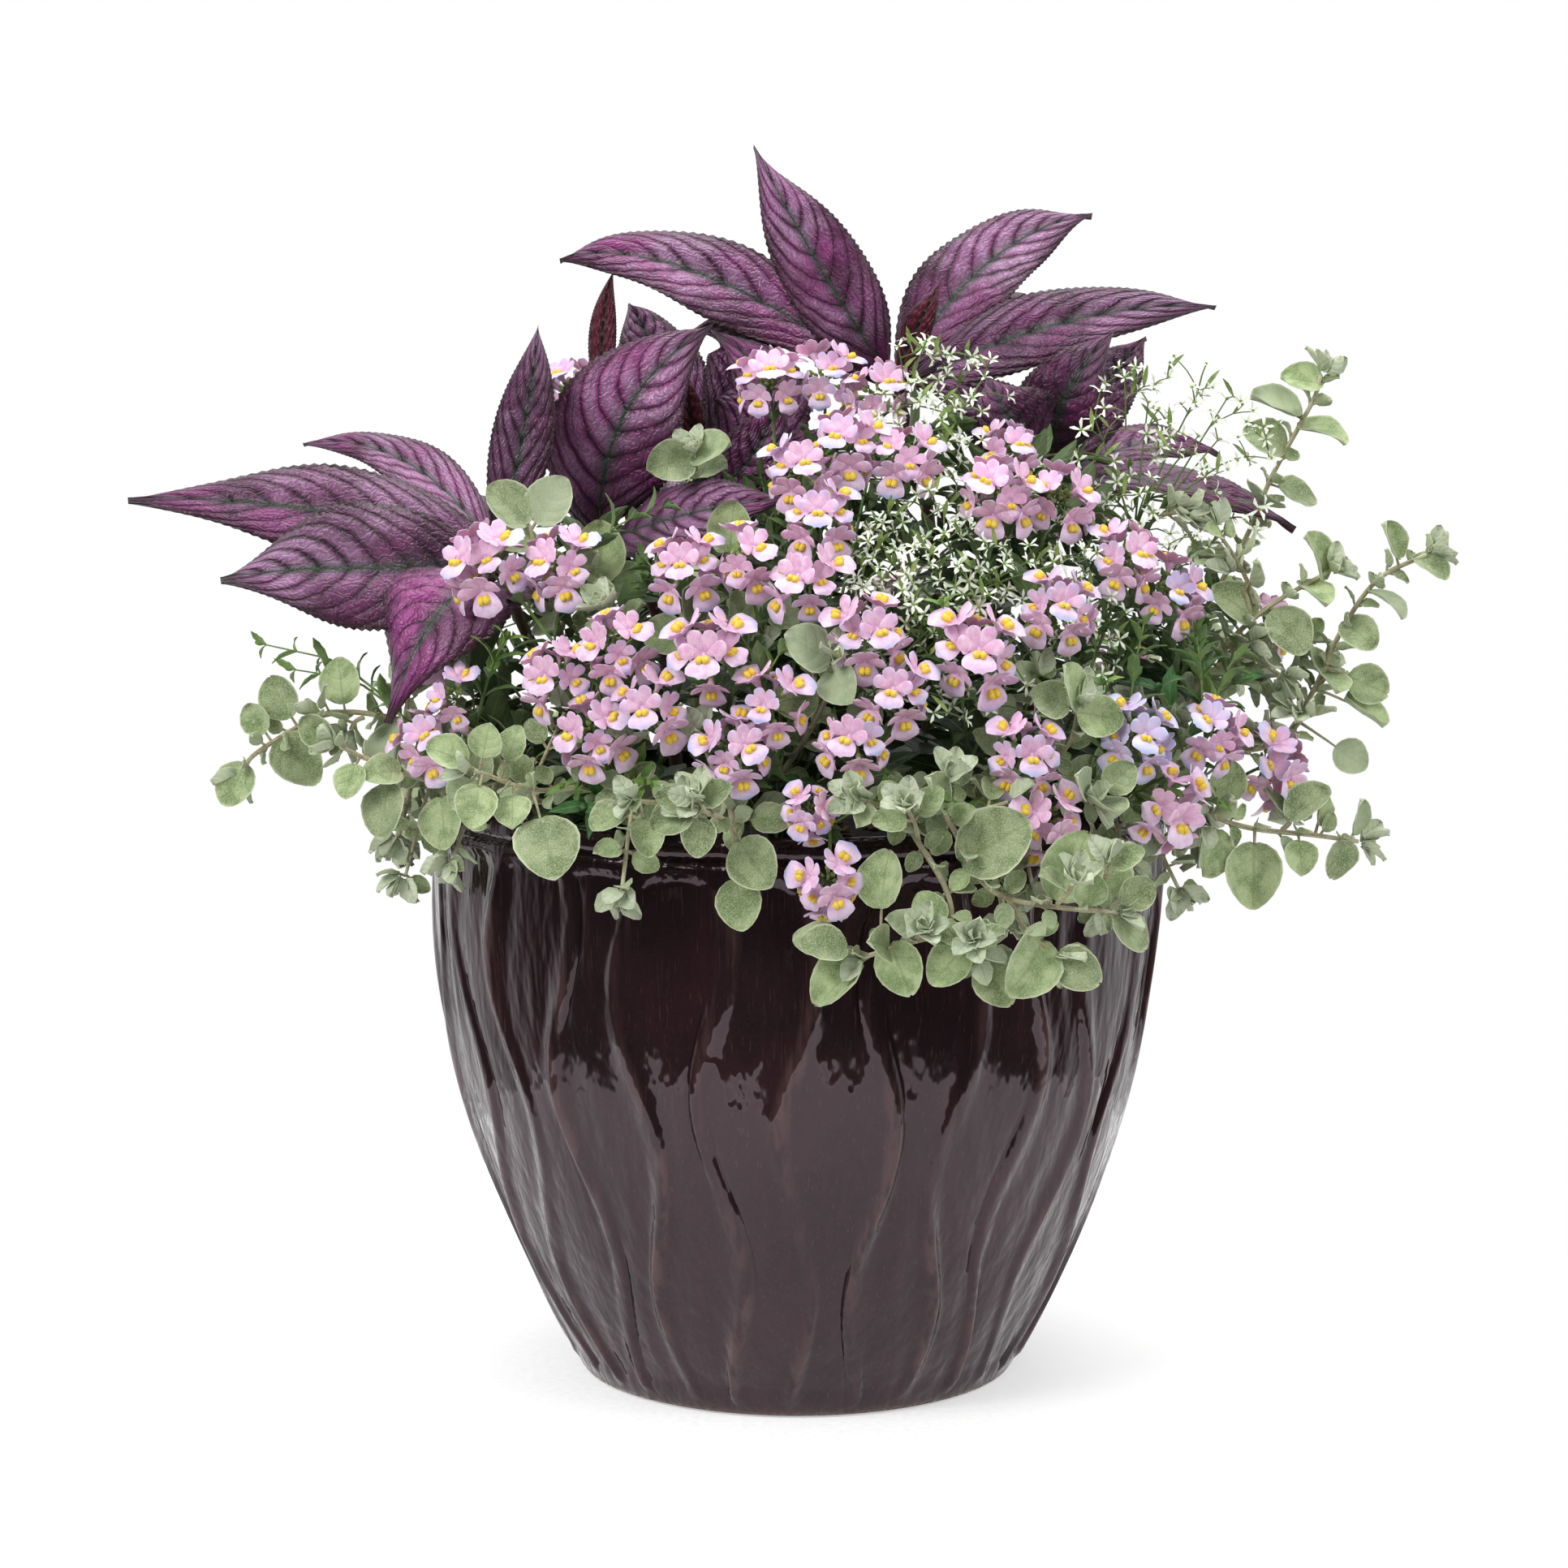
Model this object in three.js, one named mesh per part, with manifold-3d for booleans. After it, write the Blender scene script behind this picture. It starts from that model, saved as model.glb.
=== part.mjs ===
// A mixed flowering planter: nemesia in front, dark purple-leaved shoots behind, felted grey-green
// trailing shoots over the rim and fine white sprays, in one wavy-ribbed glazed pot.
// Millimetres, +Z up, -Y is the front. The origin is the centre of the pot's underside.
import * as THREE from 'three';
import { mergeVertices } from 'three/addons/utils/BufferGeometryUtils.js';
import Module from 'manifold-3d';

const wasm = await Module();
wasm.setup();

// Pot
const POT_HEIGHT = 290;
const BASE_RADIUS = 108;
const BELLY_RADIUS = 181;
const BELLY_HEIGHT = 250;
const RIB_COUNT = 28;
const RIB_DEPTH = 4;
const RIB_ROWS = [14, 56, 98, 140, 184, 228, 272];
const RIB_SWAY = 0.055;
const RIB_WAVE = 160;
const WALL = 11;
const FLOOR = 14;
const MOUTH_RADIUS = 170;
const POT_SIDES = 24;
const DRAIN_RADIUS = 7;
const DRAIN_RING = 45;
const DRAIN_COUNT = 3;

// Soil
const FIT = 0.4;
const SOIL_EDGE = 262;
const SOIL_CROWN = 10;
const SOIL_ROWS = [FLOOR, 110, 195];
const ROOT_DEPTH = 15;
const HOLE_GAP = 0.6;
const ROOT_TOP = 3;
const ROOT_RISE = 2;

// Room that pieces of different plants keep between them
const GAP = 0.3;

// The rounded mass of foliage that the flower heads stand on
const MOUND = { x: 20, z: 262, width: 225, depth: 205, height: 235 };

// Nemesia flower heads
const FLOWER_REACH = 17.5;
const FLOWER_RADIUS = 10;
const THROAT_DEPTH = 0.3;
const CORE_RADIUS = 3.4;
const CORE_FOOT = 3.6;
const BUD_TIP = 9;
const LOWER_ROW_TILT = 98;
const UPPER_ROW_TILT = 40;
const STEM_END_GAP = 0.8;
const INWARD_LIMIT = 0.04;

const point = (x, y, z) => new THREE.Vector3(x, y, z);
const radians = (degrees) => degrees * Math.PI / 180;

// Repeatable draw between 0 and 1
function draw(a, b) {
  const value = Math.sin(a * 127.1 + b * 311.7) * 43758.5453;
  return value - Math.floor(value);
}

// Closed triangle mesh from points and faces
function meshOf(points, faces) {
  const geometry = new THREE.BufferGeometry();
  const numbers = points.flatMap((p) => [p.x, p.y, p.z]);
  geometry.setAttribute('position', new THREE.Float32BufferAttribute(numbers, 3));
  geometry.setIndex(faces.flat());
  return geometry;
}

function toSolid(geometry) {
  const bare = geometry.clone();
  bare.deleteAttribute('normal');
  bare.deleteAttribute('uv');
  const welded = mergeVertices(bare, 1e-4);
  return new wasm.Manifold(new wasm.Mesh({
    numProp: 3,
    vertProperties: new Float32Array(welded.attributes.position.array),
    triVerts: new Uint32Array(welded.index.array),
  }));
}

function toGeometry(body) {
  const mesh = body.getMesh();
  const geometry = new THREE.BufferGeometry();
  geometry.setAttribute('position', new THREE.BufferAttribute(mesh.vertProperties, 3));
  geometry.setIndex(new THREE.BufferAttribute(mesh.triVerts, 1));
  geometry.computeVertexNormals();
  return geometry;
}

// Everything placed so far, by node, with each piece's box for a quick first look
const nodes = new Map();

function place(node, piece, leafy = false) {
  if (!nodes.has(node)) nodes.set(node, []);
  nodes.get(node).push({ piece, box: piece.boundingBox(), leafy });
}

function boxesMeet(a, b) {
  return [0, 1, 2].every((i) => a.min[i] <= b.max[i] && b.min[i] <= a.max[i]);
}

function crossesAny(entries, piece) {
  const box = piece.boundingBox();
  return entries.some((entry) => boxesMeet(box, entry.box) && !piece.intersect(entry.piece).isEmpty());
}

// True where a piece with its room around it touches no other node
function isClear(node, envelope) {
  return [...nodes].every(([other, entries]) => other === node || !crossesAny(entries, envelope));
}

// True where a piece crosses a leaf of its own node
function crossesOwn(node, piece) {
  return crossesAny(nodes.get(node).filter((entry) => entry.leafy), piece);
}

// Pot: a bellied vessel with wandering ribs, a smooth rolled rim and drain holes
function potRadius(z) {
  const below = Math.max(0, 1 - z / BELLY_HEIGHT);
  return BELLY_RADIUS - (BELLY_RADIUS - BASE_RADIUS) * below * below;
}

// Neighbouring ribs sway in and out of step, so the panels between them pinch and swell
function ribSway(rib, z) {
  const phase = rib * 2.4 + 1.3 * Math.sin(rib * 1.7);
  return RIB_SWAY * Math.sin(2 * Math.PI * z / RIB_WAVE + phase);
}

function potRing(z, radiusAt, sway) {
  const ring = [];
  for (let k = 0; k < 2 * RIB_COUNT; k += 1) {
    const before = Math.floor(k / 2);
    const after = Math.ceil(k / 2) % RIB_COUNT;
    const shift = sway * (ribSway(before, z) + ribSway(after, z)) / 2;
    const angle = Math.PI * k / RIB_COUNT + shift;
    const radius = radiusAt(k % 2 === 1);
    ring.push(point(radius * Math.cos(angle), radius * Math.sin(angle), z));
  }
  return ring;
}

function ringStack(rings) {
  const count = rings[0].length;
  const points = rings.flat();
  const faces = [];
  for (let row = 0; row + 1 < rings.length; row += 1) {
    for (let k = 0; k < count; k += 1) {
      const next = (k + 1) % count;
      const a = row * count + k;
      const b = row * count + next;
      faces.push([a, b, b + count], [a, b + count, a + count]);
    }
  }
  const bottom = points.push(point(0, 0, rings[0][0].z)) - 1;
  const top = points.push(point(0, 0, rings.at(-1)[0].z)) - 1;
  const last = (rings.length - 1) * count;
  for (let k = 0; k < count; k += 1) {
    const next = (k + 1) % count;
    faces.push([bottom, next, k], [top, last + k, last + next]);
  }
  return meshOf(points, faces);
}

function turned(profile, sides) {
  return toSolid(new THREE.LatheGeometry(profile.map(([r, z]) => new THREE.Vector2(r, z)), sides)
    .rotateX(Math.PI / 2));
}

const innerRadius = (z) => Math.min(MOUTH_RADIUS, potRadius(z) - RIB_DEPTH - WALL);

function pot() {
  const smooth = (z, radius) => potRing(z, () => radius, 0);
  const rings = [smooth(0, BASE_RADIUS)];
  for (const z of RIB_ROWS) {
    rings.push(potRing(z, (inPanel) => potRadius(z) - (inPanel ? RIB_DEPTH : 0), 1));
  }
  rings.push(smooth(278, BELLY_RADIUS - 3));
  rings.push(smooth(284, BELLY_RADIUS));
  rings.push(smooth(POT_HEIGHT, BELLY_RADIUS - 4));
  let body = toSolid(ringStack(rings));
  const inside = SOIL_ROWS.map((z) => [innerRadius(z), z]);
  const hollow = [[0, FLOOR], ...inside, [MOUTH_RADIUS, SOIL_EDGE], [MOUTH_RADIUS, POT_HEIGHT + 10],
    [0, POT_HEIGHT + 10]];
  body = body.subtract(turned(hollow, POT_SIDES));
  for (let i = 0; i < DRAIN_COUNT; i += 1) {
    const angle = 2 * Math.PI * i / DRAIN_COUNT;
    const drain = new THREE.CylinderGeometry(DRAIN_RADIUS, DRAIN_RADIUS, 4 * FLOOR, 8)
      .rotateX(Math.PI / 2)
      .translate(DRAIN_RING * Math.cos(angle), DRAIN_RING * Math.sin(angle), 0);
    body = body.subtract(toSolid(drain));
  }
  return body;
}

// Soil: fills the pot, low at the edge and crowned in the middle
function soilHeight(x, y) {
  const across = Math.hypot(x, y) / MOUTH_RADIUS;
  return SOIL_EDGE + SOIL_CROWN * (1 - across * across);
}

function soil() {
  const side = SOIL_ROWS.map((z, row) => [innerRadius(z) - FIT, row === 0 ? z + FIT : z]);
  const middle = 0.6 * MOUTH_RADIUS;
  const profile = [[0, FLOOR + FIT], ...side, [MOUTH_RADIUS - FIT, SOIL_EDGE],
    [middle, soilHeight(middle, 0)], [0, soilHeight(0, 0)]];
  return turned(profile, POT_SIDES);
}

// A root end that stands in a plain hole in the soil
const rootHoles = [];

function rootStub(node, x, y, radius) {
  const top = soilHeight(x, y);
  const upright = (r, low, high) => toSolid(new THREE.CylinderGeometry(r, r, high - low, 5)
    .rotateX(Math.PI / 2).translate(x, y, (low + high) / 2));
  rootHoles.push(upright(radius + HOLE_GAP, top - ROOT_DEPTH, top + ROOT_DEPTH));
  place(node, upright(radius, top - ROOT_DEPTH + FIT, top + ROOT_TOP));
}

// Stems: a few-sided rod along a curve through its own points
class StemCurve extends THREE.CatmullRomCurve3 {
  constructor(points) {
    super(points, false, 'catmullrom', 0.5);
  }

  getUtoTmapping(u) {
    return u;
  }
}

// A stem's point; one without a height is its root, just above the soil
const stemPoint = ([x, y, z]) => point(x, y, z ?? soilHeight(x, y) + ROOT_RISE);

function stemSolid(curve, spans, radius, sides) {
  const section = new THREE.Shape();
  for (let k = 0; k < sides; k += 1) {
    const angle = 2 * Math.PI * k / sides;
    const corner = [radius * Math.cos(angle), radius * Math.sin(angle)];
    if (k === 0) section.moveTo(...corner);
    else section.lineTo(...corner);
  }
  section.closePath();
  return toSolid(new THREE.ExtrudeGeometry(section, {
    steps: spans, bevelEnabled: false, extrudePath: curve,
  }));
}

// The stem's middle at a share of its length, on the straight stretch between two of its rings
function alongStem(stem, share) {
  const at = Math.min(share * stem.spans, stem.spans - 1e-6);
  const ring = Math.floor(at);
  const from = stem.curve.getPoint(ring / stem.spans);
  const to = stem.curve.getPoint((ring + 1) / stem.spans);
  return from.lerp(to, at - ring);
}

const STEM_PLACES = 48;

function nearestOnStems(stems, wanted) {
  const shares = Array.from({ length: STEM_PLACES }, (_, k) => 0.03 + 0.94 * k / (STEM_PLACES - 1));
  const places = stems.flatMap((stem) => shares.map((share) => alongStem(stem, share)));
  const distance = (place) => place.distanceTo(wanted);
  return places.reduce((best, place) => (distance(place) < distance(best) ? place : best));
}

// Leaf blades: an even-thickness sheet along a bent midrib, which narrows to a point inside its stem
// stations are shares of the length, widths are shares of the half width, fold lifts the edges
function bladeSolid(leaf, grow = 0) {
  const { base, via, tip, face, half, edge, rib, fold, thick } = leaf;
  const control = via.clone().multiplyScalar(2).addScaledVector(base, -0.5).addScaledVector(tip, -0.5);
  const midrib = new THREE.QuadraticBezierCurve3(base, control, tip);
  const top = [];
  const bottom = [];
  const addPoint = (u, offset) => {
    const along = midrib.getTangent(u);
    const across = along.clone().cross(face).normalize();
    const up = across.clone().cross(along);
    const lift = fold * Math.abs(offset);
    const at = midrib.getPoint(u).addScaledVector(across, offset).addScaledVector(up, lift);
    top.push(at.clone().addScaledVector(up, grow));
    bottom.push(at.clone().addScaledVector(up, -thick - grow));
    return { u, index: top.length - 1 };
  };
  const end = addPoint(1, 0);
  const ribs = [...rib.map((u) => addPoint(u, 0)), end];
  const sides = [1, -1].map((sign) => [
    ...edge.map(([u, width]) => addPoint(u, sign * (width * half + grow))),
    end,
  ]);
  const upper = [[sides[1][0].index, sides[0][0].index, ribs[0].index]];
  sides.forEach((side, which) => {
    const addFace = (a, b, c) => {
      if (b.index === c.index) return;
      upper.push(which === 0 ? [a.index, b.index, c.index] : [a.index, c.index, b.index]);
    };
    let i = 0;
    let j = 0;
    while (i < ribs.length - 1 || j < side.length - 1) {
      const ribDone = i === ribs.length - 1;
      const edgeFirst = j < side.length - 1 && (ribDone || side[j + 1].u <= ribs[i + 1].u);
      if (edgeFirst) {
        if (!ribDone || side[j + 1].u < 1) addFace(ribs[i], side[j], side[j + 1]);
        j += 1;
      } else {
        addFace(ribs[i], side[j], ribs[i + 1]);
        i += 1;
      }
    }
  });
  const count = top.length;
  const foot = 2 * count;
  const faces = [...upper, ...upper.map(([a, b, c]) => [a + count, c + count, b + count])];
  const rim = [...sides[0], ...sides[1].slice(0, -1).reverse()].map((corner) => corner.index);
  rim.slice(0, -1).forEach((a, k) => {
    const b = rim[k + 1];
    faces.push([a, a + count, b + count], [a, b + count, b]);
  });
  const right = rim[0];
  const left = rim.at(-1);
  faces.push([foot, right, left], [foot, left + count, right + count], [foot, right + count, right],
    [foot, left, left + count]);
  return toSolid(meshOf([...top, ...bottom, base], faces));
}

// Of several forms of a leaf, places one that is clear of the other nodes, and of its own shoot's
// other leaves where one is
function placeLeaf(node, forms) {
  const clear = forms.filter((form) => isClear(node, bladeSolid(form, GAP)));
  const form = clear.find((each) => !crossesOwn(node, bladeSolid(each))) ?? clear[0];
  if (form) place(node, bladeSolid(form), true);
}

// Purple shoots: long pointed leaves with saw-toothed edges and a drawn-out tip
const purpleWidth = (u) => 4.75 * u ** 0.95 * (1 - u) ** 1.35;
const PURPLE_TEETH = 5;
const PURPLE_EDGE = Array.from({ length: PURPLE_TEETH }, (_, k) => {
  const u = 0.07 + 0.8 * k / (PURPLE_TEETH - 1);
  return [u, purpleWidth(u) * (k % 2 === 1 ? 1.04 : 0.93)];
});
const PURPLE_RIB = [0.3, 0.66];
const PURPLE_THICK = 1;
const PURPLE_STEM_RADIUS = 3.4;

// Each leaf: base, a point of the midrib halfway, tip, half width, and where its face looks
const FRONT = [0, -0.85, 0.53];
const PURPLE_SHOOTS = {
  purple_shoot_back: {
    stem: [[62, 72], [70, 62, 350], [64, 44, 430], [46, 28, 490]],
    leaves: [
      [[28, 22, 489], [10, 0, 544], [-21, 10, 601], 23, [0.2, -0.95, 0.2]],
      [[50, 32, 490], [94, 50, 543], [147, 62, 568], 26, [-0.35, -0.8, 0.45]],
      [[13, 36, 498], [-48, 26, 539], [-116, 20, 546], 24, [0.1, -0.8, 0.6]],
      [[63, 18, 484], [125, -5, 515], [202, -10, 524], 20, [-0.2, -0.85, 0.5]],
      [[52, 12, 488], [58, -4, 513], [70, -2, 536], 8, FRONT],
      [[60, 40, 488], [92, 86, 522], [104, 142, 512], 24, [0, 0.4, 0.9]],
      [[34, 48, 488], [0, 92, 524], [-34, 138, 508], 25, [0, 0.5, 0.85]],
    ],
  },
  purple_shoot_right: {
    stem: [[108, 22], [118, 16, 340], [122, 4, 400], [124, 2, 442]],
    leaves: [
      [[110, -2, 446], [127, -15, 485], [162, 5, 519], 25, [-0.3, -0.85, 0.3]],
      [[126, 10, 446], [150, 24, 482], [172, 36, 508], 20, [-0.4, -0.8, 0.3]],
      [[112, -8, 436], [104, -42, 467], [89, -38, 492], 26, [0.1, -0.95, 0.25]],
      [[128, -4, 434], [182, -30, 440], [238, -45, 420], 20, [0, -0.35, 0.93]],
      [[130, 10, 440], [172, 40, 455], [212, 60, 449], 18, [-0.1, -0.6, 0.8]],
      [[122, 14, 438], [142, 70, 466], [168, 122, 446], 24, [0.1, 0.4, 0.9]],
    ],
  },
  purple_shoot_middle: {
    stem: [[-58, 26], [-64, 18, 340], [-72, 6, 380], [-98, -8, 412]],
    branches: [
      [[-64, 18, 340], [-54, 10, 400], [-46, 4, 440]],
      [[-72, 6, 380], [-84, 18, 430], [-97, 20, 478]],
    ],
    leaves: [
      [[-101, -10, 412], [-83, -32, 472], [-40, -24, 516], 33, [0.1, -0.93, 0.36]],
      [[-97, 20, 470], [-95, 22, 512], [-90, 28, 540], 7, FRONT],
      [[-52, 8, 436], [-68, 34, 494], [-83, 45, 524], 22, [0.2, -0.9, 0.3]],
      [[-47, 2, 436], [-52, -8, 470], [-53, -6, 492], 8, FRONT],
      [[-97, -14, 406], [-53, -60, 427], [-1, -82, 437], 26, [0.15, -0.8, 0.5]],
      [[-44, 2, 436], [-16, 8, 478], [-42, 14, 512], 24, [0.1, -0.95, 0.2]],
      [[-46, 0, 430], [-22, -20, 452], [-6, -14, 492], 17, [0.1, -0.95, 0.2]],
      [[-60, 14, 408], [-84, 74, 448], [-112, 128, 436], 25, [0, 0.4, 0.9]],
    ],
  },
  purple_shoot_left: {
    stem: [[-92, -22], [-112, -34, 330], [-132, -44, 374], [-144, -48, 410]],
    leaves: [
      [[-140, -46, 410], [-129, -52, 470], [-123, -40, 516], 15, [0.1, -0.95, 0.3]],
      [[-146, -46, 406], [-226, -40, 427], [-319, -45, 434], 26, [0, -0.82, 0.57]],
      [[-145, -40, 408], [-190, 2, 448], [-243, 22, 456], 15, [0, -0.75, 0.66]],
      [[-144, -52, 396], [-206, -84, 404], [-268, -102, 401], 35, [0.1, -0.85, 0.5]],
      [[-132, -50, 386], [-162, -96, 390], [-192, -112, 334], 37, [-0.4, -0.85, 0.35]],
      [[-146, -38, 400], [-180, 34, 428], [-206, 92, 402], 22, [-0.2, 0.3, 0.9]],
    ],
  },
};

function purpleShoots() {
  for (const [node, shoot] of Object.entries(PURPLE_SHOOTS)) {
    const [rootX, rootY] = shoot.stem[0];
    rootStub(node, rootX, rootY, PURPLE_STEM_RADIUS + 0.6);
    shoot.stems = [shoot.stem, ...(shoot.branches ?? [])].map((way) => {
      const curve = new StemCurve(way.map(stemPoint));
      place(node, stemSolid(curve, way.length - 1, PURPLE_STEM_RADIUS, 5));
      return { curve, spans: way.length - 1 };
    });
  }
  for (const [node, shoot] of Object.entries(PURPLE_SHOOTS)) {
    for (const [base, via, tip, half, face] of shoot.leaves) {
      placeLeaf(node, [1, 0.9, 0.78].map((size) => ({
        base: nearestOnStems(shoot.stems, point(...base)),
        via: point(...via),
        tip: point(...tip),
        half: half * size,
        face: point(...face).normalize(),
        edge: PURPLE_EDGE,
        rib: PURPLE_RIB,
        fold: 0.22,
        thick: PURPLE_THICK,
      })));
    }
  }
}

// Nemesia heads: two-lipped flowers in two rows round a pointed tuft of buds
// [x, z, size, y where the head stands off the mound]; heads in one list grow into each other
const HEAD_GROUPS = [
  [[-13, 486, 1.05], [12, 489, 1.05], [37, 482, 1]],
  [[23, 460, 1.05], [1, 450, 1], [48, 456, 1]],
  [[91, 439, 1.05], [96, 457, 0.85]],
  [[119, 436, 1]],
  [[-50, 408, 1], [-26, 412, 1]],
  [[149, 409, 1]],
  [[170, 393, 1.05]],
  [[-91, 335, 1]],
  [[-67, 347, 1.05]],
  [[-28, 331, 1], [-12, 350, 1.05]],
  [[30, 381, 1.05]],
  [[43, 357, 1]],
  [[-108, 358, 1]],
  [[-81, 373, 1]],
  [[-170, 324, 1, -112], [-158, 345, 0.9, -112]],
  [[-112, 477, 1, 60]],
  [[-142, 406, 1.15, -112]],
  [[-107, 406, 1.05]],
  [[10, 430, 1]],
  [[5, 403, 1.05]],
  [[117, 390, 1]],
  [[78, 372, 1.2]],
  [[-39, 370, 1.2]],
  [[26, 337, 1]],
  [[100, 328, 1]],
  [[109, 299, 1]],
  [[152, 333, 1]],
  [[190, 330, 0.95]],
  [[219, 310, 1.1]],
  [[165, 302, 1.15]],
  [[13, 275, 0.95]],
  [[5, 305, 0.75]],
  [[228, 368, 0.85, -10]],
];
const BACK_HEADS = [[-90, 380, 1.05], [-20, 420, 1.1], [60, 360, 1.1], [120, 400, 1], [165, 330, 1]];

function headPlace(x, z, y, side) {
  const across = (x - MOUND.x) / MOUND.width;
  const rise = (z - MOUND.z) / MOUND.height;
  const depth = side * MOUND.depth * Math.sqrt(Math.max(0, 1 - across * across - rise * rise));
  const centre = point(x, y ?? depth, z);
  const outward = point(across / MOUND.width, centre.y / MOUND.depth ** 2, rise / MOUND.height).normalize();
  return { centre, outward };
}

// Bud core: a foot, six corners round the middle, three above and a pointed tip
const CORE_FACES = (() => {
  const ring = (k) => 1 + (k + 6) % 6;
  const crown = (k) => 7 + (k + 3) % 3;
  const lower = [0, 1, 2, 3, 4, 5].map((k) => [0, ring(k + 1), ring(k)]);
  const upper = [0, 1, 2].map((k) => [crown(k), ring(2 * k + 1), crown(k + 1)]);
  const rest = [0, 1, 2].flatMap((k) => [
    [ring(2 * k), ring(2 * k + 1), crown(k)],
    [ring(2 * k + 1), ring(2 * k + 2), crown(k + 1)],
    [crown(k), crown(k + 1), 10],
  ]);
  return { lower, upper, rest };
})();

function headFrame(centre, axis, turn) {
  const side = axis.clone().cross(point(0, 0, 1)).normalize();
  const front = axis.clone().cross(side);
  return (tilt, around, reach) => {
    const a = radians(around + turn);
    const t = radians(tilt);
    return centre.clone()
      .addScaledVector(axis, reach * Math.cos(t))
      .addScaledVector(side, reach * Math.sin(t) * Math.cos(a))
      .addScaledVector(front, reach * Math.sin(t) * Math.sin(a));
  };
}

function corePoints(at, centre, axis, size) {
  const points = [centre.clone().addScaledVector(axis, -CORE_FOOT * size)];
  for (let k = 0; k < 6; k += 1) points.push(at(90, 60 * k, CORE_RADIUS * size));
  for (let k = 0; k < 3; k += 1) points.push(at(40, 120 * k, 1.25 * CORE_RADIUS * size));
  points.push(centre.clone().addScaledVector(axis, BUD_TIP * size));
  return points;
}

// Flower outline seen from the front: [angle, radius, forward], a broad lower lip, two side lobes and
// two upright upper lobes
const FLOWER_OUTLINE = [
  [-120, 1, 0.2], [-60, 1, 0.2], [-14, 0.6, 0.02], [14, 0.96, 0.1], [66, 1, 0],
  [90, 0.74, -0.04], [114, 1, 0], [166, 0.96, 0.1], [194, 0.6, 0.02],
];

// A flower flares from one triangular face of the core to its lobed rim, with a sunken throat
function flowerSolid(corner, direction, centre, axis, size, grow = 0) {
  const up = axis.clone().addScaledVector(direction, -axis.dot(direction)).normalize();
  const right = up.clone().cross(direction);
  const radius = FLOWER_RADIUS * size + grow;
  const middle = centre.clone().addScaledVector(direction, FLOWER_REACH * size);
  const rim = FLOWER_OUTLINE.map(([angle, share, forward]) => middle.clone()
    .addScaledVector(right, radius * share * Math.cos(radians(angle)))
    .addScaledVector(up, radius * share * Math.sin(radians(angle)))
    .addScaledVector(direction, radius * forward));
  const throat = middle.addScaledVector(direction, grow - THROAT_DEPTH * radius);
  return flaredSolid(corner, rim, throat, direction, right, up);
}

// Joins a triangle to a rim with more points, and closes the rim towards a throat point
function flaredSolid(corner, rim, throat, direction, right, up) {
  const origin = corner[0].clone().add(corner[1]).add(corner[2]).divideScalar(3);
  const angleOf = (p, from) => {
    const offset = p.clone().sub(from);
    return Math.atan2(offset.dot(up), offset.dot(right));
  };
  const rimMiddle = rim.reduce((sum, p) => sum.add(p), point(0, 0, 0)).divideScalar(rim.length);
  const corners = corner.map((p) => ({ p, angle: angleOf(p, origin) })).sort((a, b) => a.angle - b.angle);
  const apart = (a, b) => Math.abs(Math.atan2(Math.sin(a - b), Math.cos(a - b)));
  const nearest = rim.map((p, k) => {
    const next = rim[(k + 1) % rim.length];
    const angle = angleOf(p.clone().add(next).divideScalar(2), rimMiddle);
    const distances = corners.map((c) => apart(c.angle, angle));
    return distances.indexOf(Math.min(...distances));
  });
  const points = [...corners.map((c) => c.p), ...rim, throat];
  const throatIndex = points.length - 1;
  const faces = [[0, 2, 1]];
  rim.forEach((_, k) => {
    const here = 3 + k;
    const next = 3 + (k + 1) % rim.length;
    const before = nearest[(k + rim.length - 1) % rim.length];
    faces.push([throatIndex, here, next], [nearest[k], next, here]);
    if (before !== nearest[k]) faces.push([before, nearest[k], here]);
  });
  return toSolid(meshOf(points, faces));
}

const heads = [];

// Heads of one group turn a lower flower to each other, so that they grow together
function turnTowards(neighbour, mark, axis) {
  const at = headFrame(point(0, 0, 0), axis, 0);
  const way = neighbour.clone().sub(mark);
  return THREE.MathUtils.radToDeg(Math.atan2(way.dot(at(90, 90, 1)), way.dot(at(90, 0, 1)))) - 30;
}

function addHead(node, number, [x, z, size, y], side, next) {
  const { centre: mark, outward } = headPlace(x, z, y, side);
  const low = z < 312 && y === undefined;
  const axis = outward.clone().multiplyScalar(0.6).add(point(0, 0, low ? 0.12 : 0.5)).normalize();
  const neighbour = next && headPlace(next[0], next[1], next[3], side).centre;
  const turn = neighbour ? turnTowards(neighbour, mark, axis) : 60 * draw(number, 1);
  for (const shift of [0, 7, 14, 21, 28]) {
    const centre = mark.clone().addScaledVector(outward, shift);
    const at = headFrame(centre, axis, turn);
    const points = corePoints(at, centre, axis, size);
    const faces = [...CORE_FACES.lower, ...CORE_FACES.upper, ...CORE_FACES.rest];
    const core = toSolid(meshOf(points, faces));
    if (!isClear(node, core)) continue;
    const before = [...(nodes.get(node) ?? [])];
    place(node, core);
    let joined = before.length === 0 || crossesAny(before, core);
    const rows = [[CORE_FACES.lower, LOWER_ROW_TILT, 60, 30], [CORE_FACES.upper, UPPER_ROW_TILT, 120, 60]];
    for (const [row, tilt, pitch, first] of rows) {
      row.forEach((face, k) => {
        const direction = at(tilt, pitch * k + first, 1).sub(centre);
        const joins = neighbour && direction.dot(neighbour.clone().sub(mark).normalize()) > 0.8;
        if (direction.dot(outward) < INWARD_LIMIT && !joins) return;
        const corner = face.map((index) => points[index]);
        const flower = (grow) => flowerSolid(corner, direction, centre, axis, size, grow);
        const crosses = crossesAny(before, flower(0));
        if (!isClear(node, flower(GAP)) || (crosses && joined)) return;
        place(node, flower(0));
        joined = joined || crosses;
      });
    }
    heads.push({ number, centre, axis, size, node });
    return;
  }
}

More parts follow.
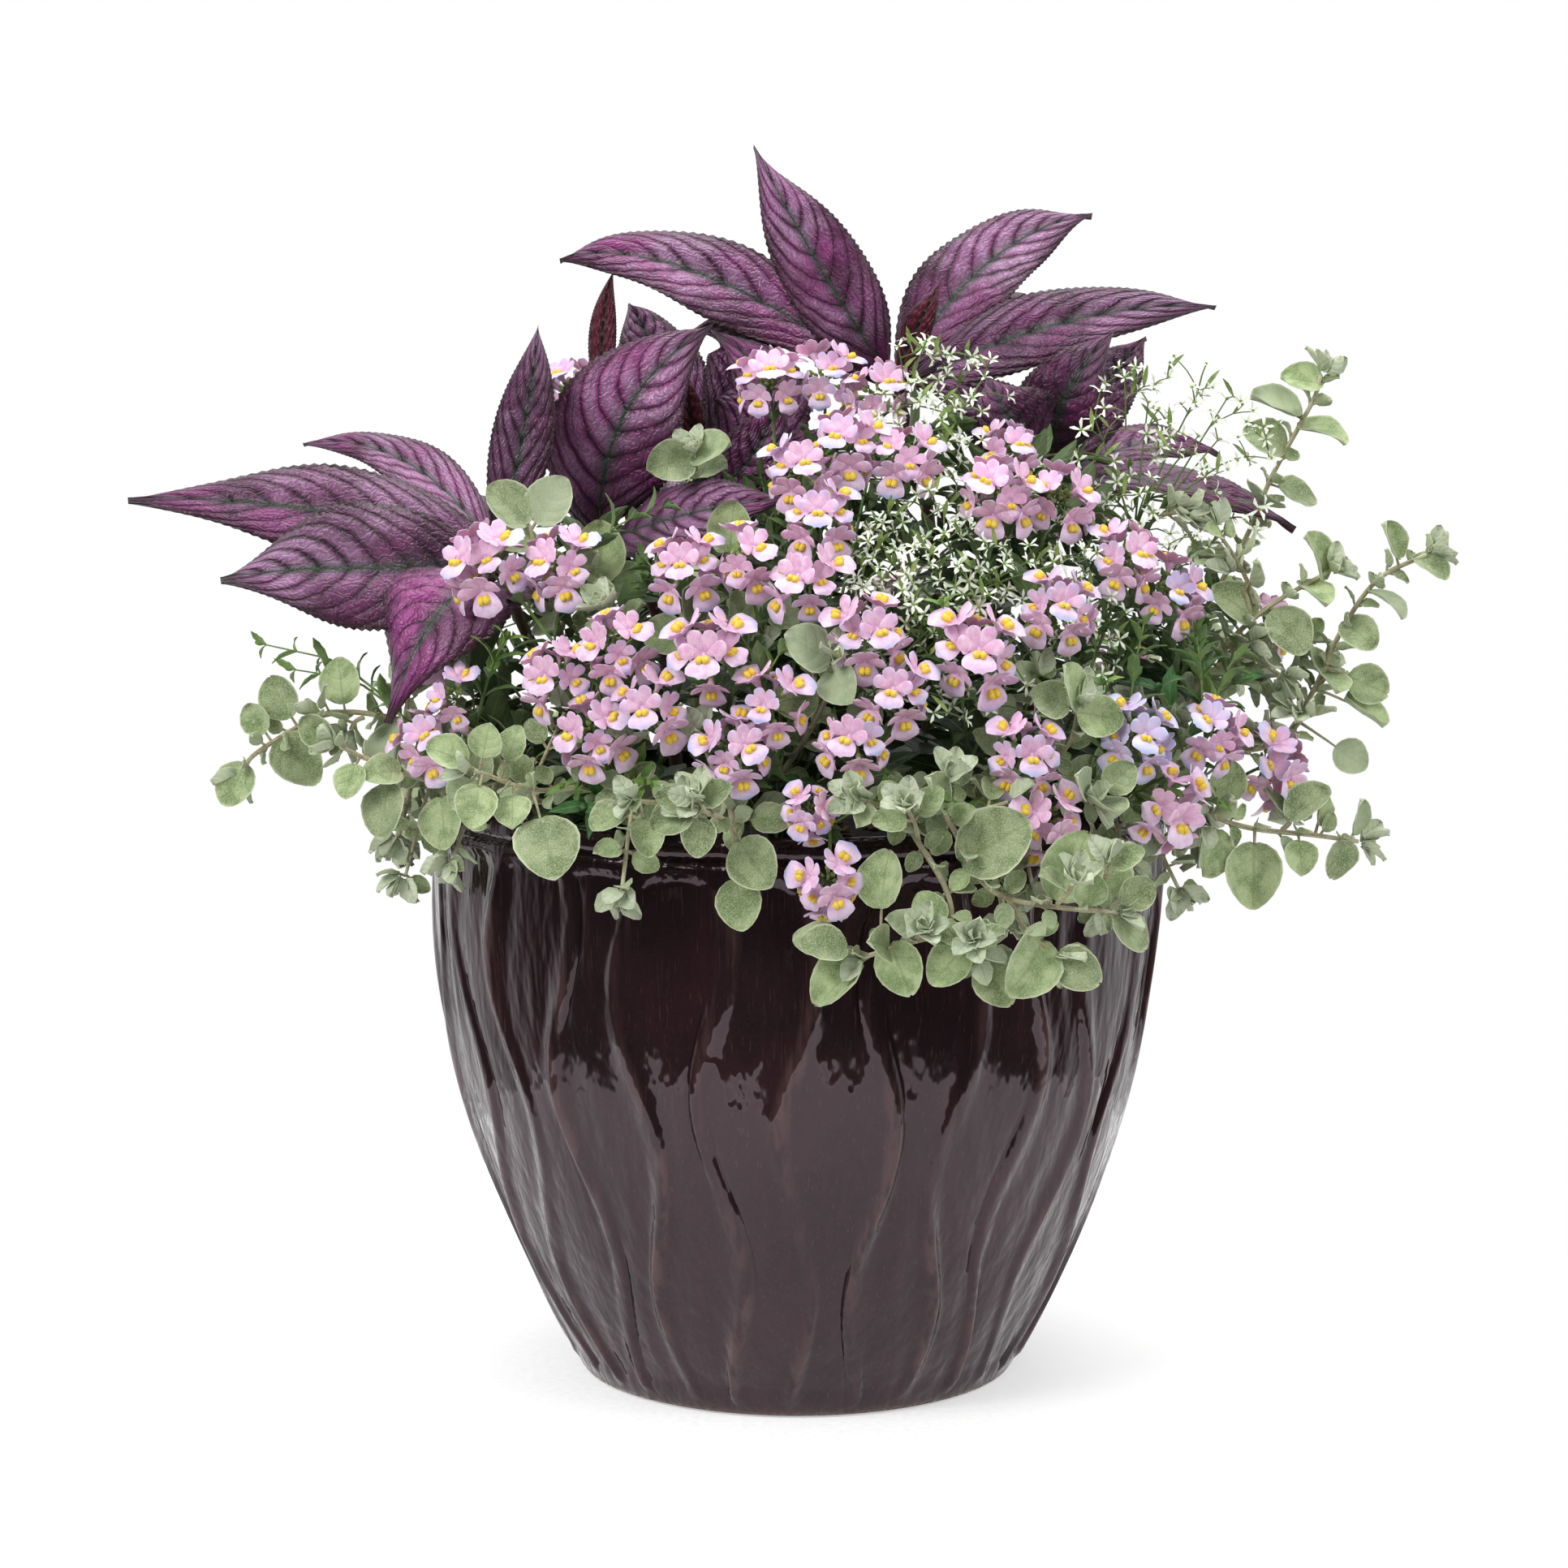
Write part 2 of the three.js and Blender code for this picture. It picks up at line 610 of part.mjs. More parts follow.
function headNodes() {
  let number = 0;
  const name = (k) => `flower_head_${String(k).padStart(2, '0')}`;
  HEAD_GROUPS.forEach((group, k) => group.forEach((head, i) => {
    number += 1;
    addHead(name(k + 1), number, head, -1, group[i + 1] ?? group[i - 1]);
  }));
  BACK_HEADS.forEach((head, k) => {
    number += 1;
    addHead(name(HEAD_GROUPS.length + k + 1), number, head, 1);
  });
}

// Nemesia plants: crowns in the soil, one thin stem to each head, narrow leaves on the stems
const NEMESIA_CROWNS = {
  nemesia_plant_left: [-78, -88],
  nemesia_plant_centre: [-8, -92],
  nemesia_plant_right: [88, -84],
  nemesia_plant_back: [10, 104],
};
const NEMESIA_STEM_RADIUS = 0.9;
const NEMESIA_CROWN_RADIUS = 4.5;
const NEMESIA_SPANS = 3;
// Stems leave their crown from places this far off its middle
const ROOT_SPREAD = 2.6;

function nemesiaStem(root, head, bend) {
  const foot = head.centre.clone().addScaledVector(head.axis, -(CORE_FOOT * head.size + STEM_END_GAP));
  const neck = foot.clone().addScaledVector(head.axis, -20);
  const low = head.centre.z < 320;
  if (low) neck.z = Math.max(neck.z, 301 + bend.lift);
  const half = root.clone().lerp(neck, 0.5);
  half.z += bend.lift + (low ? 25 : 0);
  const sideways = point(head.centre.y, -head.centre.x, 0).normalize();
  half.addScaledVector(sideways, bend.side);
  neck.addScaledVector(sideways, bend.side * 0.4);
  return new StemCurve([root, half, neck, foot]);
}

function nemesiaPlants() {
  const sides = [0, 9, -9, 18, -18, 27, -27, 38, -38, 50, -50];
  const bends = [0, 18, -14, 34].flatMap((lift) => sides.map((side) => ({ lift, side })));
  const crowns = Object.entries(NEMESIA_CROWNS);
  for (const [node, [x, y]] of crowns) rootStub(node, x, y, NEMESIA_CROWN_RADIUS);
  for (const head of heads) {
    const distance = ([, [x, y]]) => Math.hypot(x - head.centre.x, y - head.centre.y);
    const [node, [x, y]] = crowns.reduce((best, crown) => (distance(crown) < distance(best) ? crown : best));
    const root = stemPoint([x, y]);
    root.add(point(head.centre.x - x, head.centre.y - y, 0).setLength(ROOT_SPREAD));
    const ways = bends.map((bend) => nemesiaStem(root, head, bend));
    const room = NEMESIA_STEM_RADIUS + GAP;
    const curve = ways.find((way) => isClear(node, stemSolid(way, NEMESIA_SPANS, room, 3)));
    place(node, stemSolid(curve, NEMESIA_SPANS, NEMESIA_STEM_RADIUS, 3));
    head.stem = { node, curve, spans: NEMESIA_SPANS };
  }
}

const NARROW_EDGE = [[0.42, 1]];

// Every fourth stem carries a narrow leaf that is large enough to stand on its own
function nemesiaLeaves() {
  for (const head of heads.filter((each) => each.number % 4 === 0)) {
    const base = alongStem(head.stem, 0.45 + 0.12 * draw(head.number, 10));
    const length = 20 + 8 * draw(head.number, 20);
    const forms = [0, 50, 100, 150].map((turn) => {
      const around = radians(360 * draw(head.number, 30) + turn);
      const way = point(Math.cos(around), Math.sin(around), 0.55).normalize();
      const tip = base.clone().addScaledVector(way, length);
      const via = base.clone().lerp(tip, 0.5).add(point(0, 0, 2.5));
      const face = point(-0.3 * way.x, -0.3 * way.y, 1).normalize();
      return { base, via, tip, face, half: 3, edge: NARROW_EDGE, rib: [], fold: 0, thick: 0.7 };
    });
    placeLeaf(head.stem.node, forms);
  }
}

// Trailing shoots: felted stems with round leaves, some hanging over the rim
// ways: the main stem and its branches; leaves: [x, y, z of the blade's middle, length]
const ROUND_EDGE = [[0.13, 0.74], [0.48, 1], [0.84, 0.68]];
const SMALL_ROUND_EDGE = [[0.2, 0.86], [0.66, 0.94]];
// Leaves in front of this line face the front, those behind it face the back
const LEAF_DIVIDE = 60;
const SMALL_LEAF = 27.5;
const TRAILING_STEM_RADIUS = 1.5;
const PETIOLE_HALF = 0.7;
const TRAILING_SHOOTS = [
  { // left, over the rim
    ways: [[[-110, -72], [-140, -76, 304], [-168, -78, 324], [-195, -85, 334], [-222, -90, 335],
      [-252, -100, 319], [-259, -101, 310]],
      [[-110, -72], [-134, -98, 302], [-166, -112, 306], [-195, -117, 316], [-212, -118, 324]]],
    leaves: [[-233, -94, 314, 27], [-189, -92, 320, 27], [-214, -86, 350, 24], [-241, -92, 343, 23],
      [-262, -102, 304, 22], [-214, -100, 317, 22], [-252, -96, 334, 17], [-190, -122, 294, 27],
      [-163, -122, 288, 26], [-222, -118, 332, 18], [-178, -108, 322, 20], [-206, -124, 308, 18],
      [-148, -112, 316, 22]],
  },
  { // front left of the middle
    ways: [[[-52, -124], [-88, -148, 306], [-120, -164, 310], [-146, -171, 320]],
      [[-52, -124], [-34, -168, 303], [-30, -192, 300], [-38, -208, 305], [-46, -216, 310]],
      [[-34, -168, 303], [-48, -184, 306], [-72, -200, 310]]],
    leaves: [[-112, -190, 286, 34], [-145, -182, 304, 22], [-128, -180, 302, 20], [-158, -172, 326, 20],
      [-140, -176, 334, 18], [-128, -168, 332, 17], [-152, -164, 308, 18], [-19, -208, 283, 27],
      [-26, -204, 264, 24], [-56, -218, 304, 20], [-44, -220, 296, 18], [-84, -204, 302, 18],
      [-68, -206, 294, 18], [-12, -194, 300, 18]],
  },
  { // front right, trailing along the rim and hanging lowest
    ways: [[[48, -130], [56, -168, 304], [66, -196, 302], [79, -207, 278], [93, -211, 268],
      [120, -214, 264], [140, -211, 262]],
      [[93, -211, 268], [102, -208, 252], [114, -208, 242]],
      [[48, -130], [42, -168, 304], [54, -196, 290], [66, -206, 270], [66, -209, 254],
        [48, -212, 248], [28, -214, 242]],
      [[66, -209, 254], [80, -212, 242]]],
    leaves: [[83, -206, 290, 36], [112, -208, 285, 33], [135, -204, 280, 30], [60, -204, 314, 22],
      [128, -218, 274, 18], [150, -210, 270, 18], [146, -212, 252, 20], [100, -214, 238, 30],
      [124, -210, 236, 22], [27, -208, 274, 27], [19, -214, 230, 28], [45, -214, 237, 24],
      [66, -214, 238, 22], [82, -216, 228, 22], [92, -216, 243, 17], [56, -212, 262, 20],
      [36, -212, 257, 20], [8, -212, 248, 22], [16, -206, 258, 22]],
  },
  { // right, over the rim and rising beside it
    ways: [[[122, -62], [142, -84, 306], [190, -110, 291], [212, -108, 284], [241, -102, 280],
      [263, -96, 276]],
      [[122, -62], [176, -54, 306], [228, -60, 318], [245, -62, 343], [258, -62, 372],
        [275, -60, 396], [298, -60, 408]],
      [[176, -54, 306], [192, -62, 350], [218, -66, 380], [250, -66, 400]]],
    leaves: [[212, -116, 262, 30], [228, -104, 300, 24], [190, -118, 274, 24], [253, -96, 268, 20],
      [262, -98, 288, 18], [244, -98, 292, 17], [200, -106, 306, 20], [234, -112, 270, 18],
      [243, -68, 407, 23], [205, -66, 384, 24], [232, -72, 372, 26], [242, -70, 391, 20],
      [280, -62, 414, 20], [299, -62, 402, 18], [278, -66, 384, 22], [266, -66, 370, 20],
      [250, -66, 350, 22], [270, -60, 346, 22], [268, -64, 332, 24], [262, -66, 312, 20],
      [196, -72, 344, 22]],
  },
  { // tall one at the right
    ways: [[[128, 34], [176, 26, 330], [206, 6, 386], [221, 2, 415], [231, 0, 441], [250, 0, 477],
      [254, 0, 490]]],
    leaves: [[231, -2, 474, 26], [227, -2, 459, 24], [254, -2, 460, 25], [226, -4, 430, 26],
      [246, 0, 486, 20], [244, 4, 432, 22], [200, 16, 400, 20]],
  },
  { // small tip among the purple leaves
    ways: [[[-30, -36], [-34, -40, 350], [-44, -40, 405], [-47, -44, 438], [-49, -52, 454]]],
    leaves: [[-61, -58, 450, 24], [-40, -56, 456, 22], [-42, -54, 444, 20], [-50, -62, 380, 24]],
  },
  { // left of the middle, above the heads
    ways: [[[-88, -50], [-100, -74, 330], [-116, -84, 390], [-126, -82, 424]],
      [[-100, -74, 330], [-92, -92, 372], [-92, -96, 402]]],
    leaves: [[-136, -84, 432, 26], [-115, -82, 435, 26], [-92, -94, 412, 28], [-113, -98, 380, 26],
      [-78, -96, 398, 22], [-130, -86, 414, 20]],
  },
  { // middle front
    ways: [[[-34, -84], [-46, -112, 340], [-44, -122, 380], [-30, -116, 416]],
      [[-46, -112, 340], [-22, -134, 372]],
      [[-34, -84], [-4, -130, 318], [12, -164, 350], [16, -176, 370]]],
    leaves: [[-48, -132, 388, 25], [-16, -136, 386, 26], [-30, -118, 426, 24], [-44, -118, 404, 20],
      [-62, -126, 376, 22], [4, -180, 376, 26], [20, -182, 358, 22], [-2, -172, 352, 22],
      [30, -176, 345, 18]],
  },
  { // right front, low
    ways: [[[94, -96], [108, -122, 308], [122, -160, 330], [126, -170, 348]],
      [[108, -122, 308], [132, -176, 306]]],
    leaves: [[122, -174, 358, 24], [136, -168, 344, 22], [112, -176, 346, 20], [136, -184, 304, 24],
      [126, -188, 316, 18], [144, -178, 318, 18]],
  },
  { // back, over the rim and up to the right
    ways: [[[4, 128], [-78, 164, 306], [-104, 204, 292], [-120, 214, 262]],
      [[4, 128], [-16, 180, 306], [-8, 212, 272], [4, 216, 246]],
      [[4, 128], [84, 158, 306], [112, 196, 300], [140, 206, 280]],
      [[84, 158, 306], [140, 150, 326], [190, 142, 334], [222, 132, 330]]],
    leaves: [[-124, 212, 286, 28], [-96, 214, 276, 26], [-130, 218, 252, 24], [-92, 190, 314, 24],
      [-20, 208, 296, 24], [8, 216, 272, 26], [-18, 220, 256, 24], [16, 220, 238, 20],
      [-48, 172, 320, 24], [96, 200, 312, 26], [124, 208, 286, 26], [146, 210, 268, 22],
      [160, 158, 340, 26], [192, 150, 318, 26], [216, 142, 346, 22], [130, 166, 344, 22]],
  },
];

const trailingName = (k) => `trailing_shoot_${String(k + 1).padStart(2, '0')}`;

function trailingStems() {
  TRAILING_SHOOTS.forEach((shoot, k) => {
    const node = trailingName(k);
    const [rootX, rootY] = shoot.ways[0][0];
    rootStub(node, rootX, rootY, TRAILING_STEM_RADIUS + 0.7);
    shoot.stems = shoot.ways.map((way) => {
      const curve = new StemCurve(way.map(stemPoint));
      const spans = way.length - 1;
      place(node, stemSolid(curve, spans, TRAILING_STEM_RADIUS, 3));
      return { curve, spans };
    });
  });
}

// The leaf grows from the nearest place on the stems, on a narrow stalk where it stands off them
function roundLeaf(stems, [x, y, z, length], turn) {
  const wanted = point(x, y, z);
  const base = nearestOnStems(stems, wanted);
  const way = wanted.clone().sub(base).normalize();
  const outward = point((x - MOUND.x) / MOUND.width, y < LEAF_DIVIDE ? -1.6 : 1.6, 1);
  const face = outward.normalize().applyAxisAngle(way, radians(turn * 0.5));
  way.applyAxisAngle(face, radians(turn));
  const reach = Math.max(wanted.distanceTo(base), 0.42 * length) + 0.5 * length;
  const tip = base.clone().addScaledVector(way, reach);
  const half = 0.46 * length;
  const stalk = 1 - length / reach;
  const outline = length < SMALL_LEAF ? SMALL_ROUND_EDGE : ROUND_EDGE;
  const blade = outline.map(([u, width]) => [stalk + (1 - stalk) * u, width]);
  const edge = stalk > 0.3 ? [[stalk, PETIOLE_HALF / half], ...blade] : blade;
  const via = base.clone().lerp(tip, 0.5).addScaledVector(face, 0.05 * length);
  return { base, via, tip, face, half, edge, rib: [stalk + 0.5 * (1 - stalk)], fold: 0.16, thick: 0.8 };
}

function trailingLeaves() {
  TRAILING_SHOOTS.forEach((shoot, k) => {
    for (const leaf of shoot.leaves) {
      const forms = [1, 0.82].flatMap((size) => [0, 25, -25, 50, -50, 80, -80, 120].map((turn) => (
        roundLeaf(shoot.stems, [...leaf.slice(0, 3), leaf[3] * size], turn))));
      placeLeaf(trailingName(k), forms);
    }
  });
}

// White sprays: thread-like twigs, each with a star of narrow bracts
const BRACT_LONG = 6.5;
const BRACT_SHORT = 1.3;
const TWIG_RADIUS = 0.6;
const SPRAY_STEM_RADIUS = 1;
const WHITE_SPRAYS = {
  white_spray_middle: {
    way: [[56, -62], [62, -96, 340], [66, -122, 380], [74, -128, 410]],
    reachX: [30, 122],
    reachZ: [352, 432],
    stars: 20,
  },
  white_spray_right: {
    way: [[108, -30], [140, -44, 350], [158, -50, 410], [168, -48, 440]],
    reachX: [140, 214],
    reachZ: [424, 484],
    y: -52,
    stars: 12,
  },
};

function starSolid(from, to, number, grow = 0) {
  const direction = to.clone().sub(from).normalize();
  const right = direction.clone().cross(point(0.3, 0.2, 1)).normalize();
  const up = direction.clone().cross(right);
  const turn = 120 * draw(number, 5);
  const corner = (at, k, radius) => at.clone()
    .addScaledVector(right, radius * Math.cos(radians(120 * k + turn)))
    .addScaledVector(up, radius * Math.sin(radians(120 * k + turn)));
  const neck = [0, 1, 2].map((k) => corner(to, k, TWIG_RADIUS + grow));
  const front = to.clone().addScaledVector(direction, 1.6);
  const rim = [0, 1, 2, 3, 4, 5].map((k) => {
    const radius = (k % 2 === 0 ? BRACT_LONG : BRACT_SHORT) + grow;
    const angle = radians(60 * k + turn + 30);
    return front.clone()
      .addScaledVector(right, radius * Math.cos(angle))
      .addScaledVector(up, radius * Math.sin(angle))
      .addScaledVector(direction, k % 2 === 0 ? 0.8 : 0);
  });
  const twig = toSolid(meshOf([from, ...neck], [[1, 2, 3], [0, 2, 1], [0, 3, 2], [0, 1, 3]]));
  const throat = front.clone().addScaledVector(direction, 0.5 + grow);
  return twig.add(flaredSolid(neck, rim, throat, direction, right, up));
}

function whiteSprays() {
  Object.entries(WHITE_SPRAYS).forEach(([node, spray], which) => {
    const [rootX, rootY] = spray.way[0];
    rootStub(node, rootX, rootY, 1.8);
    const curve = new StemCurve(spray.way.map(stemPoint));
    const stem = { curve, spans: spray.way.length - 1 };
    place(node, stemSolid(curve, stem.spans, SPRAY_STEM_RADIUS, 3));
    for (let k = 0; k < spray.stars; k += 1) {
      const number = 500 + 100 * which + k;
      for (let attempt = 0; attempt < 6; attempt += 1) {
        const mix = ([low, high], salt) => low + (high - low) * draw(number, salt + 7 * attempt);
        const x = mix(spray.reachX, 1);
        const z = mix(spray.reachZ, 2);
        const { centre } = headPlace(x, z, spray.y, -1);
        const to = centre.add(point(0, 8 - 16 * draw(number, 3 + attempt), 0));
        const from = alongStem(stem, 0.55 + 0.44 * draw(number, 4));
        const star = starSolid(from, to, number);
        if (!isClear(node, starSolid(from, to, number, GAP)) || crossesOwn(node, star)) continue;
        place(node, star, true);
        break;
      }
    }
  });
}

// Build order: what stands first keeps its place, and what comes later bends clear of it
place('pot', pot());
purpleShoots();
trailingStems();
headNodes();
nemesiaPlants();
trailingLeaves();
whiteSprays();
nemesiaLeaves();

const LOOKS = [
  ['pot', 0x2b1c22, 0.12, 0],
  ['soil', 0x3a2c22, 0.95, 0],
  ['purple', 0x6b2a5e, 0.45, 0.1],
  ['flower', 0xdba9cf, 0.6, 0],
  ['nemesia', 0x4d7a3a, 0.6, 0],
  ['trailing', 0x9db08c, 0.85, 0],
  ['white', 0xe9efe0, 0.7, 0],
];

function meshFor(name, body) {
  const [, color, roughness, metalness] = LOOKS.find(([start]) => name.startsWith(start));
  const material = new THREE.MeshStandardMaterial({ color, roughness, metalness });
  const mesh = new THREE.Mesh(toGeometry(body), material);
  mesh.name = name;
  return mesh;
}

const planter = new THREE.Group();
const holes = wasm.Manifold.union(rootHoles);
planter.add(meshFor('soil', soil().subtract(holes)));
for (const [name, pieces] of nodes) {
  const bodies = wasm.Manifold.union(pieces.map((entry) => entry.piece)).decompose();
  const whole = bodies.reduce((best, body) => (body.volume() > best.volume() ? body : best));
  planter.add(meshFor(name, whole));
}

export default planter;
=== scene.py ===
# A mixed summer planter: nemesia in bloom, purple shield-leaved shoots behind it, felted trailing
# shoots over the rim and fine white sprays, in a wavy-ribbed glazed pot.
# Shapes are worked out in millimetres and written to the meshes in metres.
import math

import bpy
import numpy as np
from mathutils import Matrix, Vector
from mathutils.bvhtree import BVHTree
from mathutils.kdtree import KDTree


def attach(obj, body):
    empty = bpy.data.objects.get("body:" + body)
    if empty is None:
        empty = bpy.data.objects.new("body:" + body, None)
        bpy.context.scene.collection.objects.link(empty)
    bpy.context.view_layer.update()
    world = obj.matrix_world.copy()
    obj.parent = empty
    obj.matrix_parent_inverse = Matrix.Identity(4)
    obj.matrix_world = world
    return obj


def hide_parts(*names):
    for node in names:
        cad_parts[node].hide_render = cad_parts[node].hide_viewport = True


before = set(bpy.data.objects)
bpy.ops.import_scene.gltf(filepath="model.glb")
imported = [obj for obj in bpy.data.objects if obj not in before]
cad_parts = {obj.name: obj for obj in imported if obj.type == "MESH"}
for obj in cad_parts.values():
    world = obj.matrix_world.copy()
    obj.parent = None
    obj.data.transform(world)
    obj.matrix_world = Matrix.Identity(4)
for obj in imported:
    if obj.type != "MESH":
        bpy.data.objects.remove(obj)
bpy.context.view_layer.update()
print("frame loaded with", len(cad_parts), "nodes")

millimetre = 0.001
upward = np.array([0.0, 0.0, 1.0])
norm = np.linalg.norm


# Vectors and repeatable draws

def unit(v):
    v = np.asarray(v, float)
    return v / norm(v, axis=-1, keepdims=True)


def draw(a, b):
    # the same repeatable draw between 0 and 1 that the model's source uses
    value = math.sin(a * 127.1 + b * 311.7) * 43758.5453
    return value - math.floor(value)


def between(low, high, share):
    return low + (high - low) * share


def pick(low, high, a, b):
    return between(low, high, draw(a, b))


def smooth(x, low, high):
    t = np.clip((np.asarray(x, float) - low) / (high - low), 0, 1)
    return t * t * (3 - 2 * t)


def turnAbout(v, axis, degrees):
    angle = math.radians(degrees)
    v, axis = np.asarray(v, float), unit(axis)
    return (v * math.cos(angle) + np.cross(axis, v) * math.sin(angle)
            + axis * np.dot(axis, v) * (1 - math.cos(angle)))


def toward(first, second, degrees):
    # the way at an angle from the first of two crossed ways to the second
    angle = math.radians(degrees)
    return first * math.cos(angle) + second * math.sin(angle)


def crossedTo(way):
    right = unit(np.cross(way, [0.3, 0.2, 1]))
    return right, np.cross(way, right)


def bow(base, via, tip, u):
    # where the arc from base over via to tip stands at the share u, and which way it runs there
    control = 2 * via - (base + tip) / 2
    where = (1 - u) ** 2 * base + 2 * u * (1 - u) * control + u ** 2 * tip
    return where, unit((1 - u) * (control - base) + u * (tip - control))


# What the model's own solids hold, to keep every leaf and flower where the model has it

def nodeMesh(name):
    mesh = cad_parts[name].data
    points = np.empty(len(mesh.vertices) * 3)
    mesh.vertices.foreach_get("co", points)
    return points.reshape(-1, 3) / millimetre, [tuple(face.vertices) for face in mesh.polygons]


def treeOf(points):
    tree = KDTree(len(points))
    for index, point in enumerate(points):
        tree.insert(point, index)
    tree.balance()
    return tree


def obstacles(*starts):
    points, faces = [], []
    for name in sorted(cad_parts):
        if name.startswith(starts):
            more, corners = nodeMesh(name)
            offset = len(points)
            points += [tuple(point) for point in more]
            faces += [tuple(offset + corner for corner in face) for face in corners]
    return BVHTree.FromPolygons(points, faces)


corners = {name: treeOf(nodeMesh(name)[0]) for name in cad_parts}


def shareFound(node, wanted, within=0.15):
    near = [corners[node].find(point)[2] < within for point in wanted]
    return sum(near) / len(near)


def isFree(tree, start, end, skip=0.2):
    start, end = np.asarray(start, float), np.asarray(end, float)
    first = start + (end - start) * skip
    length = float(norm(end - first))
    return tree.ray_cast(Vector(first), Vector((end - first) / length), length)[0] is None


def isAway(tree, point, room):
    return tree.find_nearest(Vector(point), room)[0] is None


def isClear(tree, path):
    return all(isFree(tree, path[k], path[k + 1], 0) for k in range(len(path) - 1))


# Meshes are gathered from closed surfaces, each a stack of rings

def newBag():
    return {"points": [], "place": [], "under": [], "quads": [], "tris": [],
            "quadPaint": [], "triPaint": [], "count": 0}


ringFaceStore = {}


def ringFaces(rows, around):
    if (rows, around) not in ringFaceStore:
        here = np.arange(around)
        after = (here + 1) % around
        row = np.arange(rows - 1)[:, None] * around
        quads = np.stack([row + here, row + after, row + after + around, row + here + around], -1)
        first, last, top = rows * around, rows * around + 1, (rows - 1) * around
        tris = np.concatenate([np.stack([np.full(around, first), after, here], -1),
                               np.stack([np.full(around, last), top + here, top + after], -1)])
        ringFaceStore[rows, around] = quads.reshape(-1, 4), tris
    return ringFaceStore[rows, around]


def addRings(bag, rings, place, paint=0, under=0.0):
    rows, around = rings.shape[:2]
    quads, tris = ringFaces(rows, around)
    place = np.broadcast_to(place, rings.shape)
    under = np.broadcast_to(under, rings.shape[:2])
    bag["points"] += [rings.reshape(-1, 3), rings[0].mean(0)[None], rings[-1].mean(0)[None]]
    bag["place"] += [place.reshape(-1, 3), place[0, :1], place[-1, :1]]
    bag["under"] += [under.reshape(-1), under[0, :1], under[-1, :1]]
    bag["quads"].append(quads + bag["count"])
    bag["tris"].append(tris + bag["count"])
    bag["quadPaint"].append(np.full(len(quads), paint))
    bag["triPaint"].append(np.full(len(tris), paint))
    bag["count"] += rows * around + 2


def addTube(bag, path, radii, sides, paint=0, random=0.0):
    path = np.asarray(path, float)
    radii = np.broadcast_to(np.asarray(radii, float), len(path))
    along = unit(np.gradient(path, axis=0))
    right = unit(np.cross(along[0], [0.31, 0.52, 0.79]))
    angle = 2 * np.pi * np.arange(sides) / sides
    rings = []
    for point, way, radius in zip(path, along, radii):
        right = unit(right - way * np.dot(way, right))
        across = np.cross(way, right)
        rings.append(point + radius * (np.cos(angle)[:, None] * right + np.sin(angle)[:, None] * across))
    place = np.zeros((len(path), sides, 3))
    place[..., 0] = np.linspace(0, 1, len(path))[:, None]
    place[..., 1] = np.sin(angle)
    place[..., 2] = random
    addRings(bag, np.array(rings), place, paint)


budRadii = np.array([0.45, 0.95, 1.0, 0.62])


def addBud(bag, base, tip, radius, paint=0, random=0.0, sides=6):
    base, tip = np.asarray(base, float), np.asarray(tip, float)
    path = base + np.array([0.0, 0.25, 0.6, 0.9])[:, None] * (tip - base)
    addTube(bag, path, radius * budRadii, sides, paint, random)


def leafForm(shares, widths, across, thick, fold, relief=None, teeth=0.0, slide=None):
    # shares run from foot to tip, widths are shares of the half width, teeth cut every other row
    shares, widths, across = (np.asarray(v, float) for v in (shares, widths, across))
    reach = widths[:, None] * across[None]
    cut = 1 - teeth * (np.arange(len(shares)) % 2)
    reach[:, 0] *= cut
    reach[:, -1] *= cut
    place = np.zeros((len(shares), len(across), 3))
    place[..., 0] = shares[:, None]
    place[..., 1] = across[None]
    rounded = 1 - 0.55 * across ** 2
    return {"shares": shares, "reach": reach, "across": across, "fold": fold, "place": place,
            "thick": thick * rounded[None] * np.ones((len(shares), 1)),
            "relief": 0.0 if relief is None else relief(shares[:, None], across[None]),
            "slide": 0.0 if slide is None else slide(shares[:, None], across[None])}


def addLeaf(bag, form, base, via, tip, face, half, paint=0, random=0.0, start=0.0, cup=0.0, wave=0.0):
    base, via, tip = (np.asarray(v, float) for v in (base, via, tip))
    middle, along = bow(base, via, tip, (start + (1 - start) * form["shares"])[:, None])
    across = unit(np.cross(along, face))
    up = np.cross(across, along)
    reach = half * form["reach"]
    ripple = np.sin(form["shares"] * 14 + random * 40)[:, None] * np.sign(form["across"])
    lift = form["fold"] * np.abs(reach) + form["relief"] + half * form["across"] ** 2 * (cup + wave * ripple)
    shift = form["slide"] * norm(tip - base)
    top = (middle[:, None] + across[:, None] * reach[..., None] + up[:, None] * lift[..., None]
           + along[:, None] * np.broadcast_to(shift, reach.shape)[..., None])
    below = top - up[:, None] * form["thick"][..., None]
    place = form["place"].copy()
    place[..., 2] = random
    side = np.zeros((len(top), 2 * len(form["across"])))
    side[:, len(form["across"]):] = 1
    addRings(bag, np.concatenate([top, below[:, ::-1]], 1), np.concatenate([place, place[:, ::-1]], 1),
             paint, side)


def addObject(name, data):
    made = bpy.data.objects.new(name, data)
    bpy.context.scene.collection.objects.link(made)
    return made


triangles = {"all": 0, "told": 0}


